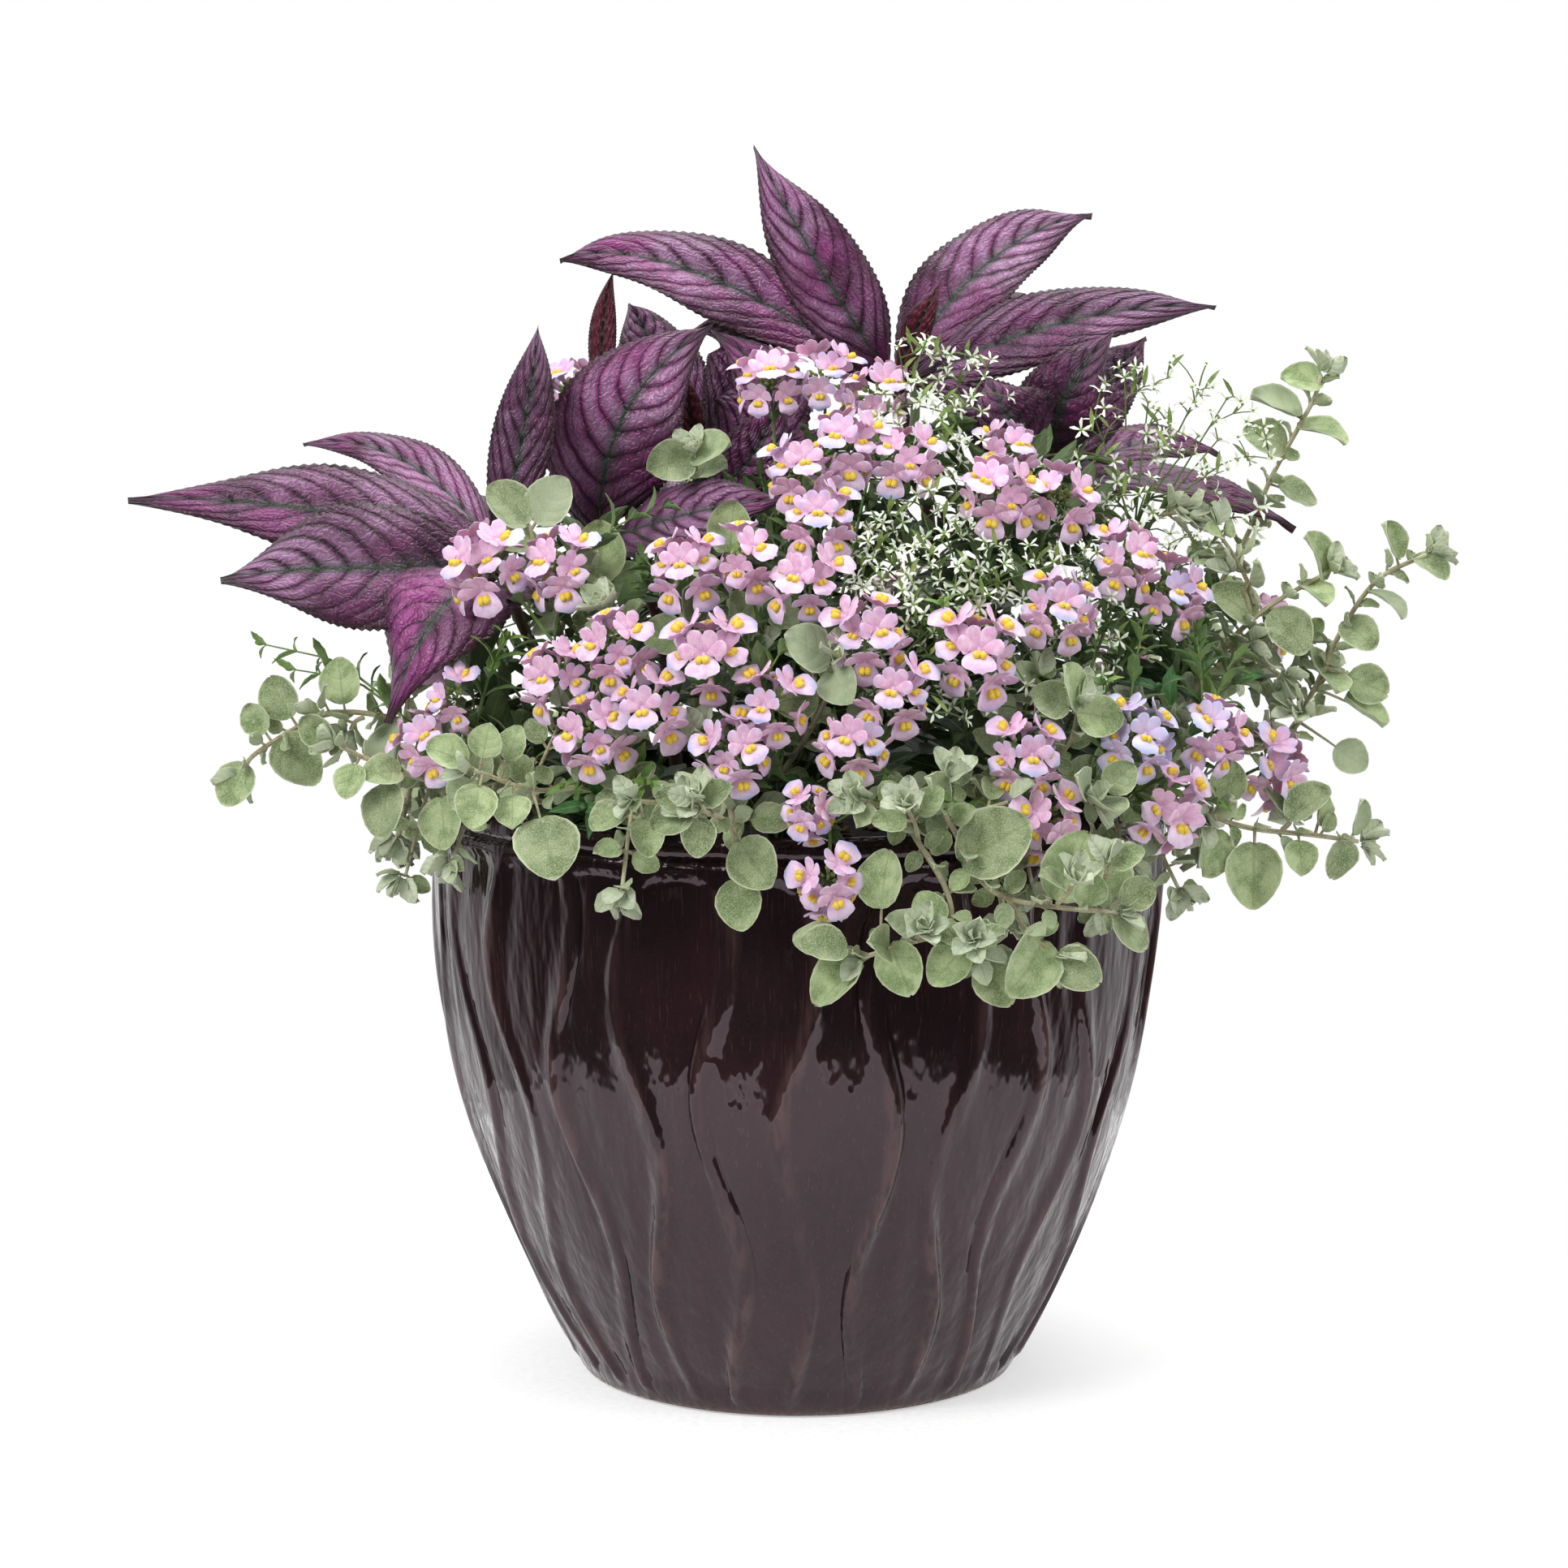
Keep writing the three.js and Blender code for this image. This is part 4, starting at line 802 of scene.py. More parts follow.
def purpleLeafMaterial():
    material, place = newMaterial("purple leaf", Sheen_Weight=0.15, Sheen_Roughness=0.4, Metallic=0.2)
    along, across, random = place.parts()
    where = whereOn(place.tree)
    aside = abs(across)
    pairs, sweep = purpleValues["veinPairs"], purpleValues["sweep"]
    # the veins run a little unevenly, and fork towards the edge
    slip = (noise(where, 55.0, 2.0) - 0.5) * 0.045
    uneven = add(place.tree, "ShaderNodeVectorMath", {0: place, 1: slip}, operation="ADD")[0]
    vein = use(material, veins, Place=uneven, Pairs=pairs, Sweep=sweep, Width=0.18, Midrib_Width=0.05)
    fork = use(material, veins, Place=uneven, Pairs=2 * pairs, Sweep=sweep, Width=0.2)["Vein"]
    rim = use(material, leafRim, Place=place, Start=0.88)["Rim"]
    tissue = use(material, mottle, Colour=tone(124, 40, 104), Other_Colour=tone(78, 24, 62), Scale=42.0,
                 Random=random, Spread=0.7, Grain_Scale=700.0)
    # painted sheen: a silvery highlight on the raised puffs between the veins, in patches
    sheen = noise(where, 24.0, 2.0).ease(0.38, 0.62, 0.12, 0.8)
    # leaves listed with the darkest painted shade, and young red leaves, get less of the painted sheen
    isShadedOrYoungLeaf = random.calc("GREATER_THAN", 0.93)
    paintedSheen = vein["Puff"].ease(0.2, 1.0) * sheen * (1 - isShadedOrYoungLeaf * 0.65)
    # fine puckers run across between one vein and the next, like rungs, with painted shade in their troughs
    rung = (aside * 46.0 + noise(where, 190.0, 3.0) * 26.0).calc("SINE")
    beneath = layered(tone(78, 18, 44), (vein["Vein"], tone(48, 14, 28)))
    colour = layered(
        tissue["Colour"],
        (paintedSheen, tone(168, 128, 164)),
        (along.ease(0.3, 0.02, 0.0, 0.6), tone(52, 16, 40)),
        (random.calc("GREATER_THAN", 1.0), tone(104, 26, 50)),
        (aside.ease(0.26, 0.0) * 0.55, tone(48, 72, 58)),
        # painted shade in the troughs between the rungs
        (rung.ease(-0.1, -0.95) * 0.3, tone(66, 28, 58)),
        (fork * aside.ease(0.35, 0.75, 0.0, 0.75), tone(44, 30, 42)),
        (vein["Vein"] * 0.94, tone(26, 38, 32)),
        (vein["Midrib"], tone(44, 70, 48)),
        (aside.ease(0.5, 1.0) * 0.66, tone(52, 18, 36)),
        (rim * 0.75, tone(44, 38, 30)),
        (underside(material), beneath))
    return finish(material, colour, tissue["Grain"] * 0.24 + 0.28, rung * 0.22 + vein["Puff"], 0.7, 0.001)


def purpleForm():
    shares = np.linspace(0.006, 1.0, purpleValues["rows"])
    phase = purpleValues["veinPairs"]

    def pucker(u, v):
        aside = np.abs(v)
        swept = u - purpleValues["sweep"] * (0.6 * aside + 0.5 * aside ** 3)
        puff = np.abs(np.sin(np.pi * phase * swept)) ** 0.7
        body = np.sin(np.pi * np.clip(u, 0, 1)) ** 0.6
        return purpleValues["pucker"] * body * (puff * (1 - aside ** 4) - 1.1 * np.exp(-(v / 0.1) ** 2))

    across = [-1, -0.8, -0.52, -0.25, 0, 0.25, 0.52, 0.8, 1]
    return leafForm(shares, purpleWidth(shares), across, purpleValues["thick"],
                    purpleValues["fold"], pucker, purpleValues["teeth"])


def buildPurple():
    form = purpleForm()
    edge = [(0.07 + 0.8 * k / 4, purpleWidth(0.07 + 0.8 * k / 4) * (1.04 if k % 2 else 0.93))
            for k in range(5)]
    leafPaint = purpleLeafMaterial()
    stemPaint = grainedMaterial("purple stem", tone(86, 70, 50), tone(92, 42, 58), 90.0, 1500.0, 0.6, (0.4,))
    for node, shoot in purpleShoots.items():
        bag = newBag()
        stems = [stemLine(way) for way in [shoot["stem"], *shoot.get("branches", [])]]
        for k, stem in enumerate(stems):
            addStem(bag, stem, purpleValues["stem"] * 1.05, purpleValues["stem"] * 0.75, 12, 1, 0.3,
                    rooted=k == 0)
        extra = extraPurple.get(node, [])
        for number, (base, via, tip, half, face) in enumerate(shoot["leaves"] + extra):
            via, tip, face = np.array(via, float), np.array(tip, float), unit(face)
            foot, onStem = nearestOnStems(stems, np.array(base, float))
            fold = purpleValues["fold"]
            found = [(shareFound(node, bladeCorners(foot, via, tip, face, edge, half * size, fold)), size)
                     for size in (1, 0.9, 0.78)]
            match, size = max(found)
            if match < 0.3 and number < len(shoot["leaves"]):
                print("  the model goes without leaf", number, "in", node)
                continue
            # listed leaves take a painted light, a painted shade or a young leaf's red from the table
            random = purpleLitShadedAndYoung.get((node, number), draw(number, len(node)) * 0.9)
            stalk = bow(onStem, via, tip, np.array([0, 0.03, 0.07, 0.12])[:, None])[0]
            addTube(bag, stalk, [purpleValues["petiole"] * 1.2, purpleValues["petiole"], 1.2, 0.5], 8, 1, 0.6)
            addLeaf(bag, form, onStem, via, tip, face, half * size, 0, random, cup=purpleValues["dome"],
                    wave=purpleValues["wave"])
        makePiece(node + "_fine", bag, [leafPaint, stemPaint], "purple_leaf", node)
    report("purple shoots")


buildPurple()


# Nemesia heads: two-lipped flowers round a tuft of green buds

headValues = {
    "mound": {"x": 20.0, "z": 262.0, "width": 225.0, "depth": 205.0, "height": 235.0},
    "reach": 17.5, "radius": 10.0, "coreRadius": 3.4, "coreFoot": 3.6, "budTip": 9.0,
    "upperLobes": [(16, 0.32, 0.94, 0.08), (66, 0.31, 0.96, 0.0), (114, 0.31, 0.96, -0.02),
                   (164, 0.32, 0.94, 0.08)],
    "lipHalf": 0.66, "lipReach": 1.04, "lipForward": 0.24,
    "youngSize": 0.8, "youngRoom": 13.5,
}
headGroups = [[[-13, 486, 1.05], [12, 489, 1.05], [37, 482, 1]],
              [[23, 460, 1.05], [1, 450, 1], [48, 456, 1]], [[91, 439, 1.05], [96, 457, 0.85]],
              [[119, 436, 1]], [[-50, 408, 1], [-26, 412, 1]], [[149, 409, 1]], [[170, 393, 1.05]],
              [[-91, 335, 1]], [[-67, 347, 1.05]], [[-28, 331, 1], [-12, 350, 1.05]], [[30, 381, 1.05]],
              [[43, 357, 1]], [[-108, 358, 1]], [[-81, 373, 1]],
              [[-170, 324, 1, -112], [-158, 345, 0.9, -112]], [[-112, 477, 1, 60]],
              [[-142, 406, 1.15, -112]], [[-107, 406, 1.05]], [[10, 430, 1]], [[5, 403, 1.05]],
              [[117, 390, 1]], [[78, 372, 1.2]], [[-39, 370, 1.2]], [[26, 337, 1]], [[100, 328, 1]],
              [[109, 299, 1]], [[152, 333, 1]], [[190, 330, 0.95]], [[219, 310, 1.1]], [[165, 302, 1.15]],
              [[13, 275, 0.95]], [[5, 305, 0.75]], [[228, 368, 0.85, -10]]]
backHeads = [[-90, 380, 1.05], [-20, 420, 1.1], [60, 360, 1.1], [120, 400, 1], [165, 330, 1]]
mound = headValues["mound"]
# [angle, radius, forward] of the model's own flower rim
flowerOutline = [(-120, 1, 0.2), (-60, 1, 0.2), (-14, 0.6, 0.02), (14, 0.96, 0.1), (66, 1, 0),
                 (90, 0.74, -0.04), (114, 1, 0), (166, 0.96, 0.1), (194, 0.6, 0.02)]


def headPlace(x, z, y=None, side=-1, scale=1.0):
    across = (x - mound["x"]) / (mound["width"] * scale)
    rise = (z - mound["z"]) / (mound["height"] * scale)
    depth = side * mound["depth"] * scale * math.sqrt(max(0, 1 - across * across - rise * rise))
    centre = np.array([x, depth if y is None else y, z], float)
    outward = unit([across / mound["width"], centre[1] / mound["depth"] ** 2, rise / mound["height"]])
    return centre, outward


def headFrame(centre, axis, turn):
    side = unit(np.cross(axis, upward))
    front = np.cross(axis, side)

    def at(tilt, around, reach):
        return centre + reach * toward(axis, toward(side, front, around + turn), tilt)
    return at


def headCorners(at, centre, axis, size):
    core = headValues["coreRadius"] * size
    return ([at(90, 60 * k, core) for k in range(6)] + [at(40, 120 * k, 1.25 * core) for k in range(3)]
            + [centre + axis * headValues["budTip"] * size])


def flowerFrame(direction, centre, axis, size):
    # a flower's own sides, its middle and radius, and its spots by angle, share of the radius and forward
    up = unit(axis - np.dot(axis, direction) * direction)
    right = np.cross(up, direction)
    middle = centre + direction * headValues["reach"] * size
    radius = headValues["radius"] * size

    def spot(angle, share, forward):
        return middle + radius * (share * toward(right, up, angle) + forward * direction)
    return right, up, middle, radius, spot


def petalMaterial(name, body, other, veinColour, edgeColour, edgeStart, veinReach, blueBody, coldEdge):
    material, place = newMaterial(
        name, Sheen_Weight=0.2, Sheen_Roughness=0.5, Subsurface_Weight=0.12, Subsurface_Scale=0.002)
    along, across, random = place.parts()
    mixed = use(material, mottle, Colour=body, Other_Colour=other, Scale=260.0, Random=random, Spread=0.2,
                Grain_Scale=2200.0)
    rim = use(material, leafRim, Place=place, Start=edgeStart)["Rim"]
    line = abs((across * 7.0).calc("SINE")).ease(0.3, 0.0) * along.ease(veinReach, 0.1)
    colour = layered(
        mixed["Colour"],
        (random.ease(0.84, 0.9), blueBody),
        (along.ease(0.45, 1.0) * random.ease(0.25, 0.7) * coldEdge, tone(182, 194, 238)),
        (line * 0.5, veinColour),
        (along.ease(0.4, 0.05) * 0.4, veinColour),
        (rim * 0.45, edgeColour))
    return finish(material, colour, 0.55, mixed["Grain"], 0.25, 0.0004)


def greenMaterial(name, body, other, spread=0.6, scale=60.0):
    material, place = newMaterial(name, Sheen_Weight=0.08)
    vein = use(material, veins, Place=place, Pairs=5.0, Sweep=0.3, Width=0.16, Midrib_Width=0.12)
    leafy = use(material, mottle, Colour=body, Other_Colour=other, Scale=scale, Random=place.parts()[2],
                Spread=spread, Grain_Scale=1300.0)
    lines = (vein["Vein"] * 0.5).calc("MAXIMUM", vein["Midrib"])
    colour = layered(leafy["Colour"], (lines * 0.35, tone(160, 186, 110)),
                     (underside(material) * 0.4, tone(140, 166, 112)))
    return finish(material, colour, 0.45, vein["Puff"] + leafy["Grain"], 0.35)


stemGreen = greenMaterial("green stem", tone(112, 138, 70), tone(84, 112, 52), 0.3)
budGreen = greenMaterial("green bud", tone(150, 172, 96), tone(112, 142, 66), 0.5, 200.0)

lobeForm = leafForm([0.02, 0.34, 0.66, 0.9, 1.0], [0.3, 0.62, 0.98, 0.84, 0.4],
                    [-1, -0.38, 0.38, 1], 0.3, 0.0,
                    slide=lambda u, v: -0.05 * smooth(u, 0.7, 1) * v ** 2)
youngLobeForm = leafForm([0.02, 0.36, 0.7, 0.92, 1.0], [0.3, 0.64, 1.0, 0.82, 0.4], [-1, 0, 1], 0.3, 0.0)
lipForm = leafForm([0.02, 0.24, 0.46, 0.7, 0.9, 1.0], [0.5, 0.84, 1.0, 0.99, 0.8, 0.42],
                   [-1, -0.5, 0, 0.5, 1], 0.3, 0.0,
                   slide=lambda u, v: -0.1 * smooth(u, 0.6, 1) * (v ** 2 + 0.6 * np.exp(-(v / 0.25) ** 2)))
youngLipForm = leafForm([0.02, 0.3, 0.62, 0.88, 1.0], [0.5, 0.9, 1.0, 0.82, 0.42],
                        [-1, -0.4, 0.4, 1], 0.3, 0.0,
                        slide=lambda u, v: -0.1 * smooth(u, 0.6, 1) * v ** 2)


def addFlower(bag, direction, centre, axis, size, random, young=False):
    right, up, middle, radius, spot = flowerFrame(direction, centre, axis, size)
    mouth = middle - direction * 0.3 * radius
    for k, (angle, half, reach, forward) in enumerate(headValues["upperLobes"]):
        turned = angle + 8 * (draw(random * 91, k) - 0.5)
        tip = spot(turned, reach * pick(0.95, 1.03, random * 57, k), forward)
        via = (mouth + tip) / 2 - direction * 0.05 * radius
        addLeaf(bag, youngLobeForm if young else lobeForm, mouth, via, tip, direction, half * radius, 0,
                random, cup=-0.12)
    tip = spot(-90, headValues["lipReach"], headValues["lipForward"])
    via = (mouth + tip) / 2 + direction * 0.2 * radius
    addLeaf(bag, youngLipForm if young else lipForm, mouth, via, tip, direction,
            headValues["lipHalf"] * radius, 1, random, cup=-0.16)
    for side in (-1, 1):
        bump = mouth + direction * 0.24 * radius - up * 0.14 * radius + right * side * 0.12 * radius
        addBud(bag, bump - direction * 0.12 * radius, bump + (direction * 0.26 - up * 0.22) * radius,
               0.17 * radius, 2, random, 5)
    throat = centre + direction * np.array([8.5, 11.0, 13.0, 14.6])[:, None] * size
    addTube(bag, throat, np.array([0.9, 1.2, 1.9, 2.5]) * size, 5, 0, random)
    stalk = centre + direction * np.array([1.5, 5.5, 9.2])[:, None] * size
    addTube(bag, stalk, 0.55 * size, 4, 3, random)
    calyx = direction * 1.4 * size
    addBud(bag, stalk[-1] - calyx, stalk[-1] + calyx, 1.35 * size, 4, random, 5)


def addBudTuft(bag, at, centre, axis, size, number):
    core = headValues["coreRadius"] * size
    addTube(bag, centre + axis * np.array([-3.6, -1, 1.5, 4])[:, None] * size,
            np.array([0.6, 1.1, 1.0, 0.5]) * size, 6, 3)
    for k in range(15):
        lift = pick(20, 80, number, 40 + k) if k else 0
        spread = 360 * k / 7 + 30 * draw(number, 50 + k)
        reach = pick(1.4, 2.7, number, 60 + k) * core if k else headValues["budTip"] * size
        tip = at(lift, spread, reach)
        base = at(lift, spread, reach * 0.6)
        addBud(bag, base, tip, pick(0.7, 1.3, number, 70 + k) * size, 4, draw(number, k), 5)


heads = []
blueHead = 35


def findHead(node, mark, outward, axis, turn, size):
    # the model pushes a head out from the mound where it would meet its neighbours
    found = []
    for shift in (0, 7, 14, 21, 28):
        centre = mark + outward * shift
        at = headFrame(centre, axis, turn)
        found.append((shareFound(node, headCorners(at, centre, axis, size)), centre, at))
    return max(found, key=lambda each: each[0])


def planHead(node, number, entry, side, neighbour):
    size = entry[2]
    mark, outward = headPlace(*entry[:2], *entry[3:], side=side)
    low = entry[1] < 312 and len(entry) < 4
    axis = unit(outward * 0.6 + (0, 0, 0.12 if low else 0.5))
    turn = 60 * draw(number, 1)
    if neighbour is not None:
        way = headPlace(*neighbour[:2], *neighbour[3:], side=side)[0] - mark
        at = headFrame(np.zeros(3), axis, 0)
        turn = math.degrees(math.atan2(np.dot(way, at(90, 90, 1)), np.dot(way, at(90, 0, 1)))) - 30
    match, centre, at = findHead(node, mark, outward, axis, turn, size)
    if match < 0.2:
        print("  no head", number, "in", node, round(match, 2))
        return
    flowers, spare = [], []
    for tilt, count, first in ((98, 6, 30), (40, 3, 60), (70, 6, 0), (112, 6, 0), (46, 3, 0)):
        for k in range(count):
            direction = at(tilt, 360 / count * k + first, 1) - centre
            spot = flowerFrame(direction, centre, axis, size)[-1]
            rim = [spot(*each) for each in flowerOutline]
            isModelled = first > 0 and shareFound(node, rim) >= 0.5
            (flowers if isModelled else spare).append((direction, size))
    heads.append({"number": number, "node": node, "centre": centre, "axis": axis, "size": size, "at": at,
                  "outward": outward, "flowers": flowers, "spare": spare})


def flowerMiddles():
    return [head["centre"] + way * headValues["reach"] * size
            for head in heads for way, size in head["flowers"]]


def addYoungFlowers():
    # smaller flowers fill each head where the model has none and nothing is in their way
    blocked = obstacles("pot", "purple", "trailing", "white")
    middles = flowerMiddles()
    for head in heads:
        for way, size in head["spare"]:
            young = size * headValues["youngSize"]
            middle = head["centre"] + way * headValues["reach"] * young
            room = min(norm(middle - other) for other in middles)
            if np.dot(way, head["outward"]) < -0.15 or room < headValues["youngRoom"] * young:
                continue
            if isAway(blocked, middle, 0.62 * headValues["radius"] * young) and isFree(
                    blocked, head["centre"], middle, 0.1):
                head["flowers"].append((way, young))
                middles.append(middle)


def buildHeads():
    paints = [
        petalMaterial("pink petal", tone(238, 198, 224), tone(224, 170, 208), tone(170, 96, 160),
                      tone(242, 214, 234), 0.72, 0.75, tone(214, 198, 232), 0.45),
        petalMaterial("pale lip", tone(238, 212, 234), tone(226, 188, 220), tone(206, 146, 200),
                      tone(238, 206, 232), 0.7, 0.5, tone(226, 220, 246), 0.9),
        grainedMaterial("yellow palate", tone(255, 232, 92), tone(255, 208, 56), 700.0, 3500.0, 0.6,
                        (0.5, 0.0004), varied=False, Subsurface_Weight=0.1, Subsurface_Scale=0.001),
        stemGreen, budGreen]
    number = 0
    groups = [(group, -1) for group in headGroups] + [([head], 1) for head in backHeads]
    for k, (group, side) in enumerate(groups):
        node = f"flower_head_{k + 1:02d}"
        for i, entry in enumerate(group):
            number += 1
            neighbour = None
            if len(group) > 1:
                neighbour = group[i + 1] if i + 1 < len(group) else group[i - 1]
            planHead(node, number, entry, side, neighbour)
    modelled = len(flowerMiddles())
    addYoungFlowers()
    for node in sorted({head["node"] for head in heads}):
        bag = newBag()
        for head in heads:
            if head["node"] != node:
                continue
            for k, (way, size) in enumerate(head["flowers"]):
                random = 0.95 if head["number"] == blueHead else 0.89 * draw(head["number"], 80 + k)
                addFlower(bag, way, head["centre"], head["axis"], size, random, size < head["size"])
            addBudTuft(bag, head["at"], head["centre"], head["axis"], head["size"], head["number"])
        makePiece(node + "_fine", bag, paints, "nemesia_petal", node)
    report(len(heads), "heads with", modelled, "of the model's flowers and", len(flowerMiddles()) - modelled,
           "more,")


buildHeads()


# Nemesia plants: a stem to each head, toothed leaves in pairs, and leafy side shoots that fill the mound

plantValues = {
    "stem": (1.0, 0.8), "leafLength": (13.0, 27.0), "leafHalf": 0.16, "broadHalf": 0.17, "endGap": 0.8,
    "shootLength": (34.0, 62.0), "shootPairs": 5, "fillShoots": 185, "tries": 900,
    "fillDepth": (0.62, 0.93), "plainWithin": 0.82, "fillReach": 212, "rightEnd": 225,
    "innerLeaves": 900, "innerLength": (34.0, 56.0), "innerHalf": (6.0, 10.0), "innerDepth": 0.78,
    "innerFrom": (0.3, 0.86), "innerHeight": (276, 425),
}
nemesiaCrowns = {
    "nemesia_plant_left": [-78, -88],
    "nemesia_plant_centre": [-8, -92],
    "nemesia_plant_right": [88, -84],
    "nemesia_plant_back": [10, 104],
}
# places on the mound, seen from the front, where bright leafy tips stand clear of the flowers
brightTips = [(-103, 312), (182, 374), (204, 362), (156, 380), (-250, 364), (-236, 352), (64, 392),
              (-66, 316), (84, 300), (60, 312), (188, 300), (-132, 372), (136, 356), (-8, 372)]
# and where broader bright leaves stand
broadTips = [(166, 352), (186, 366), (204, 350), (-96, 304)]
# dark leafy tips behind the white sprays and in the hollows of the mound, most in the darker colour of
# painted shade, as x, y and z
deepTips = [(60, -50, 452), (84, -58, 440), (100, -40, 458), (76, -34, 466), (112, -66, 430), (48, -66, 436),
            (92, -80, 420), (124, -48, 446), (66, -90, 420), (104, -96, 404), (30, -60, 450), (140, -60, 428),
            (-120, -96, 352), (-104, -110, 340), (-136, -80, 344), (-40, -110, 396), (120, -120, 372),
            (96, -130, 350), (150, -10, 390), (162, 20, 372), (146, 34, 392), (-150, 10, 372),
            (-160, -20, 352), (-136, 30, 386), (-4, -70, 392), (-14, -60, 406), (10, -40, 450),
            (18, -30, 460), (-56, -50, 396), (24, -66, 400), (70, -40, 322), (78, 0, 316), (-98, -30, 412),
            (-20, -90, 372), (40, -90, 386)]
narrowForm = leafForm([0.01, 0.16, 0.32, 0.48, 0.64, 0.82, 1.0], [0.22, 0.66, 0.98, 1.0, 0.84, 0.5, 0.06],
                      [-1, 0, 1], 0.35, 0.18, teeth=0.16)
plainForm = leafForm([0.01, 0.3, 0.6, 0.85, 1.0], [0.25, 0.95, 0.9, 0.45, 0.06], [-1, 0, 1], 0.35, 0.15)
broadForm = leafForm([0.01, 0.14, 0.3, 0.46, 0.62, 0.78, 0.9, 1.0],
                     [0.2, 0.66, 0.95, 1.0, 0.86, 0.56, 0.28, 0.04], [-1, -0.45, 0, 0.45, 1], 0.35, 0.2,
                     teeth=0.08)


def nemesiaStems():
    sides = [0, 9, -9, 18, -18, 27, -27, 38, -38, 50, -50]
    stems = {node: [] for node in nemesiaCrowns}
    for head in heads:
        centre, axis = head["centre"], head["axis"]
        node = min(nemesiaCrowns, key=lambda each: math.dist(nemesiaCrowns[each], centre[:2]))
        x, y = nemesiaCrowns[node]
        root = stemPoint((x, y))
        root[:2] += unit(centre[:2] - (x, y)) * 2.6
        foot = centre - axis * (headValues["coreFoot"] * head["size"] + plantValues["endGap"])
        best = None
        for lift in (0, 18, -14, 34):
            for side in sides:
                neck = foot - axis * 20
                low = centre[2] < 320
                if low:
                    neck[2] = max(neck[2], 301 + lift)
                half = (root + neck) / 2
                half[2] += lift + (25 if low else 0)
                aside = unit([centre[1], -centre[0], 0])
                half = half + aside * side
                neck = neck + aside * side * 0.4
                miss = sum(abs(corners[node].find(point)[2] - 0.9) for point in (half, neck))
                if best is None or miss < best[0]:
                    best = miss, np.array([root, half, neck, foot + axis * 0.6])
        stems[node].append((best[1], head))
    return stems


def addPair(bag, foot, way, turn, length, paint, random, blocked, form=None):
    # two opposite leaves, each left out where it would pass through its neighbours
    aside = turnAbout(unit(np.cross(way, [0.3, 0.4, 0.86])), way, turn)
    for side in (1, -1):
        lean = unit(aside * side + way * 0.75)
        tip = foot + lean * length + (0, 0, -0.1 * length)
        if not isFree(blocked, foot, tip, 0.15):
            continue
        face = unit(way - np.dot(way, lean) * lean + (0, 0, 0.3))
        via = (foot + tip) / 2 + face * 0.12 * length
        share = plantValues["broadHalf" if form is broadForm else "leafHalf"]
        addLeaf(bag, form or narrowForm, foot, via, tip, face, share * length, paint, random, cup=0.05,
                wave=0.05)


def inMound(turn, reach, z):
    return np.array([mound["x"] + mound["width"] * reach * math.cos(turn),
                     mound["depth"] * reach * math.sin(turn), z])


def isInside(point, depth):
    spread = (point - (mound["x"], 0, mound["z"])) / (mound["width"], mound["depth"], mound["height"])
    return norm(spread) < depth


def nearestPlant(plants, point):
    return min(plants.values(), key=lambda plant: norm(plant["points"] - point, axis=1).min())


def leafyShoot(bag, start, end, number, paint, blocked, pairs=None, size=1.0, form=None):
    middle = (start + end) / 2 + (0, 0, 0.12 * norm(end - start))
    path = curveThrough([start, middle, end], 7)
    addTube(bag, path, np.linspace(0.8, 0.4, 7), 4, 0, 0.4)
    pairs = pairs or plantValues["shootPairs"]
    for k in range(pairs):
        share = between(0.25, 0.98, k / (pairs - 1))
        spot = share * 6
        foot = path[int(spot)] + (path[min(int(spot) + 1, 6)] - path[int(spot)]) * (spot % 1)
        way = unit(path[min(int(spot) + 1, 6)] - path[max(int(spot) - 1, 0)])
        low, high = plantValues["leafLength"]
        length = size * between(high, low, share) * pick(0.8, 1.1, number, 90 + k)
        addPair(bag, foot, way, 90 * k + 40 * draw(number, 100), length, paint, draw(number, k), blocked,
                form)
    tip = end + unit(end - middle) * 5
    addBud(bag, end, tip, 1.4 * size, paint, draw(number, 3), 4)


def shootTo(plants, blocked, end, number, paint, size=1.0, pairs=None, form=None):
    # a leafy shoot to a place from a lower point of the nearest plant; tells whether there is one
    plant = nearestPlant(plants, end)
    lower = plant["points"][plant["points"][:, 2] < end[2] - 8]
    if not len(lower):
        return False
    short, long = plantValues["shootLength"]
    distance = norm(lower - end, axis=1)
    start = lower[np.argmin(np.abs(distance - pick(short, long, number, 9)))]
    if norm(start - end) > 1.8 * long:
        return False
    leafyShoot(plant["bag"], start, end, number, paint, blocked, pairs, size, form)
    return True


def growPlants(blocked):
    # each plant's stems to its heads, with three pairs of leaves along each
    plants = {}
    for node, found in nemesiaStems().items():
        bag, paths = newBag(), []
        for points, head in found:
            path = addStem(bag, points, *plantValues["stem"], 6, 0, 0.5, rooted=True, step=11.0)
            paths.append(path)
            for k in range(3):
                spot = int(between(0.45, 0.9, (k + draw(head["number"], 5) * 0.5) / 3) * (len(path) - 1))
                way = unit(path[min(spot + 1, len(path) - 1)] - path[spot - 1])
                addPair(bag, path[spot], way, 90 * k, 15 + 8 * draw(head["number"], k), 1,
                        draw(head["number"], 7 + k), blocked)
        plants[node] = {"bag": bag, "points": np.concatenate(paths)}
    return plants


